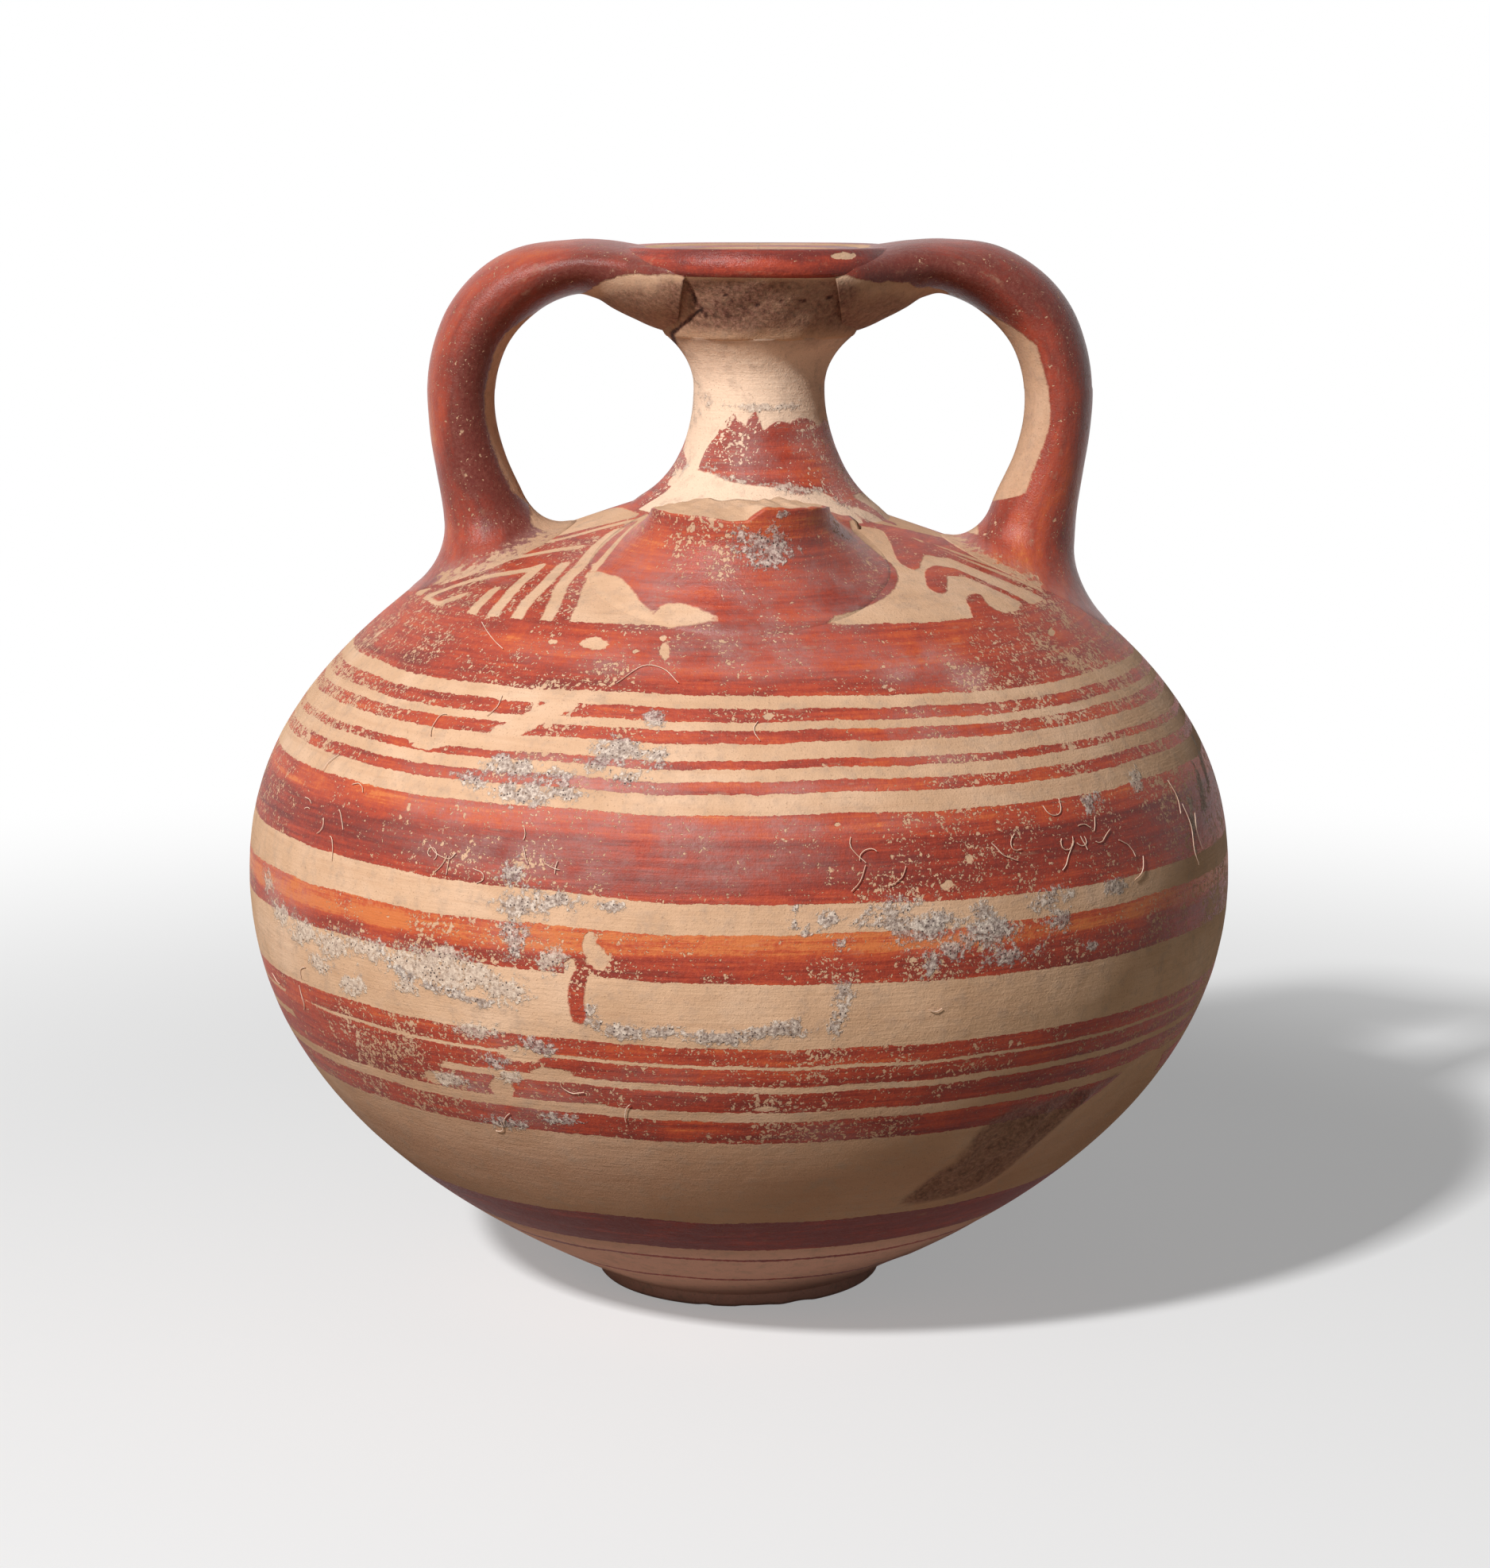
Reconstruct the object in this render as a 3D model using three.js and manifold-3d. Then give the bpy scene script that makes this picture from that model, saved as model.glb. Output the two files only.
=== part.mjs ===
// A small stirrup jar: a closed, wheel-thrown body on a low foot ring, a solid false neck capped by a disc,
// two strap handles that run from the disc to the shoulder, and the stump of a spout in front of the neck.
// Millimetres, +Z up. The origin is the middle of the foot, on the ground. The spout faces -Y.
// Every piece was formed by itself and luted on with a film of wet clay, so the pieces stop LUTE short of
// each other.

import * as THREE from 'three';
import { mergeVertices } from 'three/addons/utils/BufferGeometryUtils.js';
import Module from 'manifold-3d';

const wasm = await Module();
wasm.setup();
const { Manifold, Mesh } = wasm;

// Driving dimensions

const HEIGHT = 110; // ground to the top of the handles
const LUTE = 0.3; // film of slip clay between two joined pieces

const BELLY_RADIUS = 51.7;
const BELLY_Z = 44;
const SHOULDER_RADIUS = 34.6; // where the belly turns into the shoulder
const SHOULDER_Z = 73.5;
const CROWN_Z = 86.6; // the shoulder's slope carried on to the axis
const WALL = 4;
const FLOOR_THICKNESS = 6;

const FOOT_RADIUS = 14.8; // on the ground
const FOOT_HEIGHT = 1.5;
const FOOT_FLARE = 0.5; // how far the ring widens upwards
const FOOT_WIDTH = 4.2; // of the ring itself

const NECK_OFFSET = 1.3; // neck, disc and handles stand this far to the right of the body's axis
const NECK_RADIUS = 7; // at the waist
const NECK_HEAD = 5.6; // waist to the neck's flat top
const NECK_ROOT_RADIUS = 13.4; // where the neck's foot dies into the shoulder
const NECK_TOP_RADIUS = 9.9;
const PLUG_RADIUS = 5.6; // the neck's tenon, which closes the body's throwing hole
const PLUG_LENGTH = 6; // below the crown

const DISC_RADIUS = 15;
const DISC_CONE = 6.1; // height of the disc's underside, from the neck to the rim
const DISC_RIM = 2.8; // thickness of the disc's edge
const DISC_DROP = 0.8; // disc's rim below the handles' tops
const DISC_DISH = 0.9; // depth of the hollow in the disc's top

const HANDLE_REACH = 31; // neck axis to the middle of the strap's upright part
const HANDLE_THICKNESS = 7; // seen from the front, halfway down
const HANDLE_TOP_THICKNESS = 6;
const HANDLE_WIDTH = 9.6; // front to back, halfway down
const HANDLE_TOP_WIDTH = 12; // front to back, at the disc
const HANDLE_ROOT_REACH = 28.4; // neck axis to the middle of the strap's root
const HANDLE_BEND_RADIUS = 12.5;
const HANDLE_ROOT_FLARE = 3; // how far the root spreads on each side, on the shoulder
const HANDLE_FLARE_LENGTH = 3.2; // height over which that spread dies away

const SPOUT_X = 0.2;
const SPOUT_Y = -19.5;
const SPOUT_TOP_RADIUS = 8.6; // at the break
const SPOUT_ROOT_RADIUS = 13.4; // where the spout's foot dies into the shoulder
const SPOUT_BORE_RADIUS = 4;
const SPOUT_STUMP = 5.6; // height of the break's crest above the shoulder under the spout's axis
const BREAK_SLOPE = 0.45; // fall of the broken wall, outwards from the bore
const BREAK_TILT = 6; // degrees by which the break leans back

// Facets

const ROUND = 48; // around the body
const SMALL_ROUND = 32; // around the neck, disc, foot and spout
const CURVE_STEPS = 7; // along each curve of the body's outline
const STRAP_SIDES = 16;
const STRAP_STEPS = 20;

const HOLE_OVERRUN = 20; // cutters run on past what they cut

// Levels that follow from these

const RIM_TOP_Z = HEIGHT - DISC_DROP;
const RIM_LOW_Z = RIM_TOP_Z - DISC_RIM;
const DISC_SEAT_Z = RIM_LOW_Z - DISC_CONE; // joint between neck and disc
const NECK_TOP_Z = DISC_SEAT_Z - LUTE;
const NECK_WAIST_Z = NECK_TOP_Z - NECK_HEAD;

// Helpers

const point = (radius, z) => new THREE.Vector2(radius, z);

// A closed solid turned about the vertical line through (x, y). The outline runs from the axis to the axis, upwards.
function turned(outline, x = 0, y = 0, segments = SMALL_ROUND) {
  const geometry = new THREE.LatheGeometry(outline, segments);
  geometry.rotateX(Math.PI / 2);
  geometry.translate(x, y, 0);
  return geometry;
}

function cylinder(radius, low, high, x, y) {
  return turned([point(0, low), point(radius, low), point(radius, high), point(0, high)], x, y);
}

// A geometry as a manifold solid.
function solid(geometry) {
  const bare = geometry.clone();
  bare.deleteAttribute('normal');
  bare.deleteAttribute('uv');
  const merged = mergeVertices(bare, 1e-4);
  return new Manifold(new Mesh({
    numProp: 3,
    vertProperties: new Float32Array(merged.attributes.position.array),
    triVerts: new Uint32Array(dropSlivers(merged.index.array)),
  }));
}

// Leaves out the collapsed triangles where an outline touches its axis.
function dropSlivers(index) {
  const kept = [];
  for (let i = 0; i < index.length; i += 3) {
    const [a, b, c] = index.slice(i, i + 3);
    if (a !== b && b !== c && c !== a) kept.push(a, b, c);
  }
  return kept;
}

// A manifold solid as a geometry.
function geometryOf(body) {
  const mesh = body.getMesh();
  const geometry = new THREE.BufferGeometry();
  geometry.setAttribute('position', new THREE.BufferAttribute(mesh.vertProperties, 3));
  geometry.setIndex(new THREE.BufferAttribute(mesh.triVerts, 1));
  geometry.computeVertexNormals();
  return geometry;
}

// The same outline, moved sideways by a distance, outwards where it is positive.
function offset(outline, distance) {
  return outline.map((p, i) => {
    const before = outline[Math.max(i - 1, 0)];
    const after = outline[Math.min(i + 1, outline.length - 1)];
    const along = after.clone().sub(before).normalize();
    return point(p.x + along.y * distance, p.y - along.x * distance);
  });
}

// The body's outer outline: belly below, belly above, shoulder. It starts at the foot and ends on the axis.

const FOOT_TOP_RADIUS = FOOT_RADIUS + FOOT_FLARE;

function bodyOutline() {
  const rise = BELLY_Z - FOOT_HEIGHT;
  const spread = BELLY_RADIUS - FOOT_TOP_RADIUS;
  const climb = SHOULDER_Z - BELLY_Z;
  const drawnIn = BELLY_RADIUS - SHOULDER_RADIUS;
  const crownRise = CROWN_Z - SHOULDER_Z;
  const lower = new THREE.CubicBezierCurve(
    point(FOOT_TOP_RADIUS, FOOT_HEIGHT),
    point(FOOT_TOP_RADIUS + 0.45 * spread, FOOT_HEIGHT + 0.19 * rise),
    point(BELLY_RADIUS, BELLY_Z - 0.5 * rise),
    point(BELLY_RADIUS, BELLY_Z),
  );
  const upper = new THREE.CubicBezierCurve(
    point(BELLY_RADIUS, BELLY_Z),
    point(BELLY_RADIUS, BELLY_Z + 0.45 * climb),
    point(SHOULDER_RADIUS + 0.61 * drawnIn, SHOULDER_Z - 0.28 * climb),
    point(SHOULDER_RADIUS, SHOULDER_Z),
  );
  const shoulder = new THREE.CubicBezierCurve(
    point(SHOULDER_RADIUS, SHOULDER_Z),
    point(0.87 * SHOULDER_RADIUS, SHOULDER_Z + 0.23 * crownRise),
    point(0.46 * SHOULDER_RADIUS, SHOULDER_Z + 0.59 * crownRise),
    point(0, CROWN_Z),
  );
  const curves = [lower, upper, shoulder];
  return curves.flatMap((curve, i) => curve.getPoints(CURVE_STEPS).slice(i ? 1 : 0));
}

const OUTLINE = bodyOutline();

// Height of the outer surface at a distance from the body's axis, above the belly.
function shoulderHeight(radius) {
  const above = OUTLINE.filter((p) => p.y >= BELLY_Z);
  const i = Math.max(above.findIndex((p) => p.x <= radius), 1);
  const [outer, inner] = [above[i - 1], above[i]];
  const share = THREE.MathUtils.clamp((outer.x - radius) / (outer.x - inner.x), 0, 1);
  return THREE.MathUtils.lerp(outer.y, inner.y, share);
}

// Everything the body's outside encloses, with the film of slip around it: the cutter that seats the other pieces.
function bodySeat() {
  const skin = offset(OUTLINE, LUTE).filter((p) => p.x > 0.5);
  return solid(turned([point(0, 0), point(skin[0].x, 0), ...skin, point(0, CROWN_Z + LUTE)], 0, 0, ROUND));
}

const SEAT = bodySeat();

// Pieces

function body() {
  const floorZ = FOOT_HEIGHT + FLOOR_THICKNESS;
  const inner = offset(OUTLINE, -WALL).filter((p) => p.y > floorZ && p.x > 0.5);
  const outside = solid(turned([point(0, FOOT_HEIGHT), ...OUTLINE], 0, 0, ROUND));
  const cavity = solid(turned(
    [point(0, floorZ), point(inner[0].x, floorZ), ...inner, point(0, CROWN_Z - WALL)], 0, 0, ROUND,
  ));
  const throwingHole = solid(cylinder(
    PLUG_RADIUS + LUTE, BELLY_Z, CROWN_Z + HOLE_OVERRUN, NECK_OFFSET, 0,
  ));
  const spoutHole = solid(cylinder(
    SPOUT_BORE_RADIUS, BELLY_Z, CROWN_Z + HOLE_OVERRUN, SPOUT_X, SPOUT_Y,
  ));
  return geometryOf(outside.subtract(cavity).subtract(throwingHole).subtract(spoutHole));
}

function footRing() {
  const innerRadius = FOOT_RADIUS - FOOT_WIDTH;
  const top = FOOT_HEIGHT - LUTE;
  return turned([
    point(innerRadius, 0),
    point(FOOT_RADIUS, 0),
    point(FOOT_TOP_RADIUS, top * 0.6),
    point(FOOT_TOP_RADIUS, top),
    point(innerRadius, top),
    point(innerRadius, 0),
  ]);
}

// The neck's radius swells from the waist towards both ends: up to the disc and down to the shoulder.
function neckOutline() {
  const rootZ = shoulderHeight(NECK_ROOT_RADIUS + NECK_OFFSET);
  const down = NECK_WAIST_Z - rootZ;
  const root = new THREE.CubicBezierCurve(
    point(NECK_ROOT_RADIUS, rootZ),
    point(NECK_ROOT_RADIUS - 0.7 * (NECK_ROOT_RADIUS - NECK_RADIUS), rootZ + 0.2 * down),
    point(NECK_RADIUS, NECK_WAIST_Z - 0.45 * down),
    point(NECK_RADIUS, NECK_WAIST_Z),
  );
  const head = new THREE.QuadraticBezierCurve(
    point(NECK_RADIUS, NECK_WAIST_Z),
    point(NECK_RADIUS, NECK_WAIST_Z + 0.55 * NECK_HEAD),
    point(NECK_TOP_RADIUS, NECK_TOP_Z),
  );
  return [...root.getPoints(9), ...head.getPoints(5).slice(1)];
}

function falseNeck() {
  const outline = neckOutline();
  const stem = solid(turned(
    [point(0, SHOULDER_Z), point(NECK_ROOT_RADIUS, SHOULDER_Z), ...outline, point(0, NECK_TOP_Z)], NECK_OFFSET, 0,
  ));
  const plug = solid(cylinder(PLUG_RADIUS, CROWN_Z - PLUG_LENGTH, NECK_TOP_Z - LUTE, NECK_OFFSET, 0));
  return geometryOf(stem.subtract(SEAT).add(plug));
}

// The disc's cone, rim and dished top. The same outline, without the dish, seats the handles' upper ends.
function discOutline(dish) {
  return [
    point(0, DISC_SEAT_Z),
    point(NECK_TOP_RADIUS, DISC_SEAT_Z),
    point(THREE.MathUtils.lerp(NECK_TOP_RADIUS, DISC_RADIUS, 0.62), DISC_SEAT_Z + 0.36 * DISC_CONE),
    point(DISC_RADIUS - 0.3, RIM_LOW_Z),
    point(DISC_RADIUS, (RIM_TOP_Z + RIM_LOW_Z) / 2),
    point(DISC_RADIUS - 0.6, RIM_TOP_Z),
    point(DISC_RADIUS * 0.8, RIM_TOP_Z - dish * 0.5),
    point(DISC_RADIUS * 0.4, RIM_TOP_Z - dish),
    point(0, RIM_TOP_Z - dish),
  ];
}

function disc() {
  return turned(discOutline(DISC_DISH), NECK_OFFSET, 0);
}

// What a handle's upper end is pressed against: the disc with its cone, and the clear space above the disc.
function discSeat() {
  const cone = discOutline(0).slice(0, 4).map((p) => point(p.x ? p.x + LUTE : 0, p.y));
  cone[0].y = cone[1].y = NECK_WAIST_Z;
  const reach = DISC_RADIUS + LUTE;
  return solid(turned(
    [...cone, point(reach, RIM_TOP_Z - DISC_RIM / 2), point(reach, HEIGHT + HOLE_OVERRUN),
      point(0, HEIGHT + HOLE_OVERRUN)], NECK_OFFSET, 0,
  ));
}

// A strap of rounded section swept along a curve in the XZ plane. thickness and width give its two sizes at a
// share of the length.
function strap(path, thickness, width) {
  const positions = [];
  const index = [];
  for (let i = 0; i <= STRAP_STEPS; i++) {
    const share = i / STRAP_STEPS;
    const middle = path.getPointAt(share);
    const along = path.getTangentAt(share);
    const across = new THREE.Vector3(-along.z, 0, along.x);
    for (let k = 0; k < STRAP_SIDES; k++) {
      const turn = (2 * Math.PI * k) / STRAP_SIDES;
      const side = (thickness(middle) / 2) * Math.cos(turn);
      const depth = (width(middle) / 2) * Math.sin(turn);
      positions.push(middle.x + across.x * side, middle.y - depth, middle.z + across.z * side);
    }
  }
  const ring = (i, k) => i * STRAP_SIDES + (k % STRAP_SIDES);
  for (let i = 0; i < STRAP_STEPS; i++) {
    for (let k = 0; k < STRAP_SIDES; k++) {
      index.push(ring(i, k), ring(i, k + 1), ring(i + 1, k));
      index.push(ring(i + 1, k), ring(i, k + 1), ring(i + 1, k + 1));
    }
  }
  for (let k = 1; k < STRAP_SIDES - 1; k++) {
    index.push(ring(0, 0), ring(0, k + 1), ring(0, k));
    index.push(ring(STRAP_STEPS, 0), ring(STRAP_STEPS, k), ring(STRAP_STEPS, k + 1));
  }
  const geometry = new THREE.BufferGeometry();
  geometry.setAttribute('position', new THREE.Float32BufferAttribute(positions, 3));
  geometry.setIndex(index);
  return geometry;
}

// A handle for one side: it leaves the disc level, bends down and dies into the shoulder. side is 1 or -1.
function handle(side) {
  const topZ = HEIGHT - HANDLE_TOP_THICKNESS / 2;
  const rootZ = shoulderHeight(HANDLE_ROOT_REACH);
  const bendZ = topZ - HANDLE_BEND_RADIUS;
  const bend = (degrees) => {
    const angle = THREE.MathUtils.degToRad(degrees);
    return [
      HANDLE_REACH - HANDLE_BEND_RADIUS * (1 - Math.sin(angle)),
      bendZ + HANDLE_BEND_RADIUS * Math.cos(angle),
    ];
  };
  const lean = (share) => [
    THREE.MathUtils.lerp(HANDLE_REACH, HANDLE_ROOT_REACH, share ** 1.4),
    THREE.MathUtils.lerp(bendZ, rootZ, share),
  ];
  const route = [
    [NECK_RADIUS, topZ], [DISC_RADIUS, topZ],
    bend(8), bend(32), bend(60), bend(88),
    lean(0.35), lean(0.7), lean(1), [HANDLE_ROOT_REACH, rootZ - 2 * WALL],
  ];
  const path = new THREE.CatmullRomCurve3(
    route.map(([reach, z]) => new THREE.Vector3(NECK_OFFSET + side * reach, 0, z)), false, 'centripetal',
  );
  const fall = (p) => THREE.MathUtils.smoothstep(topZ - p.z, 0, topZ - bendZ);
  const flare = (p) => 2 * HANDLE_ROOT_FLARE * Math.exp(-Math.max(p.z - rootZ, 0) / HANDLE_FLARE_LENGTH);
  const thickness = (p) => THREE.MathUtils.lerp(HANDLE_TOP_THICKNESS, HANDLE_THICKNESS, fall(p)) + flare(p);
  const width = (p) => THREE.MathUtils.lerp(HANDLE_TOP_WIDTH, HANDLE_WIDTH, fall(p)) + flare(p);
  const whole = strap(path, thickness, width);
  return geometryOf(solid(whole).subtract(SEAT).subtract(discSeat()));
}

// Lets a turned piece lean on the shoulder: its foot follows the slope all round, and its top stays level.
function leaning(geometry, footZ, topZ) {
  const position = geometry.attributes.position;
  for (let i = 0; i < position.count; i++) {
    const share = THREE.MathUtils.clamp((topZ - position.getZ(i)) / (topZ - footZ), 0, 1);
    const ground = shoulderHeight(Math.hypot(position.getX(i), position.getY(i)));
    position.setZ(i, position.getZ(i) + share * (ground - footZ));
  }
  return geometry;
}

// The spout's stump: a tube that spreads at its foot, pierced by the bore and broken off on a slanting cone.
function spoutStump() {
  const base = shoulderHeight(-SPOUT_Y);
  const rootZ = shoulderHeight(Math.hypot(SPOUT_Y, SPOUT_ROOT_RADIUS));
  const rise = base + 2 * WALL - rootZ;
  const side = new THREE.CubicBezierCurve(
    point(SPOUT_ROOT_RADIUS, rootZ),
    point(SPOUT_TOP_RADIUS + 0.45 * (SPOUT_ROOT_RADIUS - SPOUT_TOP_RADIUS), rootZ + 0.2 * rise),
    point(SPOUT_TOP_RADIUS + 0.2 * (SPOUT_ROOT_RADIUS - SPOUT_TOP_RADIUS), rootZ + 0.5 * rise),
    point(SPOUT_TOP_RADIUS, rootZ + rise),
  );
  const low = rootZ - WALL;
  const whole = solid(leaning(turned(
    [point(0, low), point(SPOUT_ROOT_RADIUS, low), ...side.getPoints(9), point(0, rootZ + rise)],
    SPOUT_X, SPOUT_Y,
  ), rootZ, rootZ + rise));
  const bore = solid(cylinder(SPOUT_BORE_RADIUS, low - WALL, rootZ + rise + HOLE_OVERRUN, SPOUT_X, SPOUT_Y));
  const reach = 2 * SPOUT_ROOT_RADIUS;
  const fracture = turned([
    point(0, 0),
    point(SPOUT_BORE_RADIUS, 0),
    point(reach, -BREAK_SLOPE * (reach - SPOUT_BORE_RADIUS)),
    point(reach, HOLE_OVERRUN),
    point(0, HOLE_OVERRUN),
  ]);
  fracture.translate(0, SPOUT_BORE_RADIUS, 0);
  fracture.rotateX(THREE.MathUtils.degToRad(-BREAK_TILT));
  fracture.translate(SPOUT_X, SPOUT_Y - SPOUT_BORE_RADIUS, base + SPOUT_STUMP);
  const neckFoot = solid(turned(
    [point(0, SHOULDER_Z), point(NECK_ROOT_RADIUS + LUTE, SHOULDER_Z),
      ...neckOutline().map((p) => point(p.x + LUTE, p.y)), point(0, DISC_SEAT_Z)], NECK_OFFSET, 0,
  ));
  return geometryOf(whole.subtract(SEAT).subtract(bore).subtract(solid(fracture)).subtract(neckFoot));
}

// Materials: buff clay that was fired hard, and the iron-red slip painted on it

const buffClay = new THREE.MeshStandardMaterial({ color: 0xc9a884, roughness: 0.75, metalness: 0 });
const redSlip = new THREE.MeshStandardMaterial({ color: 0x9a3f2b, roughness: 0.5, metalness: 0 });
const bandedClay = new THREE.MeshStandardMaterial({ color: 0xb06a4c, roughness: 0.55, metalness: 0 });

function piece(name, geometry, material) {
  const mesh = new THREE.Mesh(geometry, material);
  mesh.name = name;
  return mesh;
}

const jar = new THREE.Group();
jar.add(
  piece('body', body(), bandedClay),
  piece('foot_ring', footRing(), buffClay),
  piece('false_neck', falseNeck(), buffClay),
  piece('disc', disc(), redSlip),
  piece('left_handle', handle(-1), redSlip),
  piece('right_handle', handle(1), redSlip),
  piece('spout_stump', spoutStump(), redSlip),
);

export default jar;
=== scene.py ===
"""A small stirrup jar of buff clay with bands of iron-red slip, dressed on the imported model."""

import math

import bpy
import numpy as np
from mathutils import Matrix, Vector


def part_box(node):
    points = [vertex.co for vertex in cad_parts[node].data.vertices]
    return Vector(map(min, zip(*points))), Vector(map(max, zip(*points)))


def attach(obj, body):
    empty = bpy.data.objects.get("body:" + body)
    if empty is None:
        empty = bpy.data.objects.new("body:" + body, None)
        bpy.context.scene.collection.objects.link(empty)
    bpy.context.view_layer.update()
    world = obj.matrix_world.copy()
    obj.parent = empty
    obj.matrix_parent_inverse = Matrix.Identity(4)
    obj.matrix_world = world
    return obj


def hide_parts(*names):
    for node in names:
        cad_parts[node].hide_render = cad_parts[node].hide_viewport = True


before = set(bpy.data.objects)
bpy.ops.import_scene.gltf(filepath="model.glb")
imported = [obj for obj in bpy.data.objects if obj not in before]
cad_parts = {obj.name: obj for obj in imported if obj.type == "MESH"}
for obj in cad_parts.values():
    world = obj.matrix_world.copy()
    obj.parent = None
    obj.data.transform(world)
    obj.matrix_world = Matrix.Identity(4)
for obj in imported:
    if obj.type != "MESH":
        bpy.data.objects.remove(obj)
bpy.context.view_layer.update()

# Sizes are in millimetres unless a name says otherwise, and MM turns them to metres. Azimuths are in degrees
# round the jar's axis, 0 at the front, over the spout, and growing to the right.
MM = 0.001


def node_box(node):
    """Lowest and highest corner of a CAD node, in millimetres."""
    low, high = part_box(node)
    return [value / MM for value in low], [value / MM for value in high]


BODY_LOW, BODY_HIGH = node_box("body")
NECK_LOW, NECK_HIGH = node_box("false_neck")
DISC_LOW, DISC_HIGH = node_box("disc")
HANDLE_HIGH = node_box("left_handle")[1]
SPOUT_LOW, SPOUT_HIGH = node_box("spout_stump")

SKIN = 0.15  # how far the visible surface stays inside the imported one
JOIN = 0.4  # how deep a luted piece sits in its neighbour

FOOT_TOP = BODY_LOW[2]
BELLY_RADIUS = (BODY_HIGH[0] - BODY_LOW[0]) / 2 - SKIN
BELLY_Z = 44
LOWER_RADIUS = 15.2  # where the body meets the foot
SHOULDER_RADIUS = 34.5  # where the belly turns into the shoulder
SHOULDER_Z = 73.5
UPPER_Z = 70  # all above this is shoulder, for the painting
CROWN_Z = 86.4  # the shoulder's slope carried on to the axis
WALL = 4

NECK_X = (NECK_HIGH[0] + NECK_LOW[0]) / 2
NECK_WAIST = 6.9
NECK_WAIST_Z = 94.4
NECK_FOOT_RADIUS = 13.4
NECK_TOP_RADIUS = 9.9
NECK_TOP_Z = NECK_HIGH[2]
NECK_FOOT_STEPS = 60

DISC_RADIUS = (DISC_HIGH[0] - DISC_LOW[0]) / 2 - SKIN
RIM_TOP_Z = DISC_HIGH[2] - SKIN
RIM_THICKNESS = 2.7
RIM_LOW_Z = RIM_TOP_Z - RIM_THICKNESS
DISC_DISH = 0.9

SPOUT_X = (SPOUT_HIGH[0] + SPOUT_LOW[0]) / 2
SPOUT_Y = -19.5
SPOUT_RADIUS = 8.8
SPOUT_BORE = 3.9
SPOUT_FILLET = 6.0

HANDLE_FILLET = 5.0
HANDLE_TOP_Z = HANDLE_HIGH[2] - SKIN

# The body's mesh
COLUMNS = 368
ROWS = 232


def linear(hex_colour):
    """An sRGB hex colour as linear RGBA."""
    parts = [int(hex_colour[i:i + 2], 16) / 255 for i in (1, 3, 5)]
    return [p / 12.92 if p <= 0.04045 else ((p + 0.055) / 1.055) ** 2.4 for p in parts] + [1.0]


def add_node(tree, kind, links=None, stops=(), **settings):
    """Adds a node. links maps an input to a value, a socket or a node, whose first socket in use is meant.

    settings are the node's own properties, and stops are a colour ramp's places and colours."""
    node = tree.nodes.new(kind)
    for name, value in settings.items():
        setattr(node, name, value)
    for name, value in (links or {}).items():
        if isinstance(value, bpy.types.Node):
            value = next(socket for socket in value.outputs if socket.enabled)
        if isinstance(value, bpy.types.NodeSocket):
            tree.links.new(value, node.inputs[name])
        else:
            node.inputs[name].default_value = linear(value) if isinstance(value, str) else value
    for index, (place, colour) in enumerate(sorted(stops)):
        elements = node.color_ramp.elements
        element = elements[index] if index < len(elements) else elements.new(1.0)
        element.position = place
        element.color = linear(colour)
    return node


# Kinds of node
ATTRIBUTE = "ShaderNodeAttribute"
JOINED = "ShaderNodeCombineXYZ"
MATH = "ShaderNodeMath"
MAP = "ShaderNodeMapRange"
MIX = "ShaderNodeMix"
NOISE = "ShaderNodeTexNoise"
PARTED = "ShaderNodeSeparateXYZ"
RAMP = "ShaderNodeValToRGB"
VECTOR = "ShaderNodeVectorMath"
VORONOI = "ShaderNodeTexVoronoi"
# Inputs of a mix of two colours
SHARE, BELOW, ABOVE = 0, 6, 7


def geometry_tree(name, inputs, output):
    """A new tree of Geometry Nodes with named inputs, a kind each, and one output of geometry."""
    tree = bpy.data.node_groups.new(name, "GeometryNodeTree")
    for title, kind in inputs:
        tree.interface.new_socket(title, in_out="INPUT", socket_type="NodeSocket" + kind)
    tree.interface.new_socket(output, in_out="OUTPUT", socket_type="NodeSocketGeometry")
    return tree


def new_material(name):
    """A material, its tree and its shader."""
    material = bpy.data.materials.new(name)
    material.use_nodes = True
    return material, material.node_tree, material.node_tree.nodes["Principled BSDF"]


# Curves and forms

def graded(values, start, stop):
    """0 up to start, 1 from stop on and an even slope between them. start may lie above stop."""
    return np.clip((values - start) / (stop - start), 0, 1)


def by_table(table, values):
    """What a table of pairs gives at the values, straight between its rows."""
    return np.interp(values, *zip(*table))


def azimuths(places, axis_x=0.0):
    """Azimuth of each place, in degrees, round the body's axis or one beside it."""
    return np.degrees(np.arctan2(places[:, 0] - axis_x, -places[:, 1]))


def bezier(a, b, c, d, steps):
    """Points of a cubic curve from a to d, drawn towards b and c."""
    t = np.linspace(0, 1, steps)[:, None]
    a, b, c, d = (np.asarray(p, float) for p in (a, b, c, d))
    return a * (1 - t) ** 3 + 3 * b * t * (1 - t) ** 2 + 3 * c * t ** 2 * (1 - t) + d * t ** 3


def through(points, steps):
    """A smooth line through the points, with steps to each stretch. A point may hold more than its place."""
    p = np.asarray(points, float)
    p = np.vstack([2 * p[0] - p[1], p, 2 * p[-1] - p[-2]])
    pieces = []
    for a, b, c, d in zip(p[:-3], p[1:-2], p[2:-1], p[3:]):
        t = np.arange(steps)[:, None] / steps
        pieces.append(0.5 * (2 * b + (c - a) * t + (2 * a - 5 * b + 4 * c - d) * t ** 2
                             + (3 * b - a - 3 * c + d) * t ** 3))
    return np.vstack(pieces + [p[-2:-1]])


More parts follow.
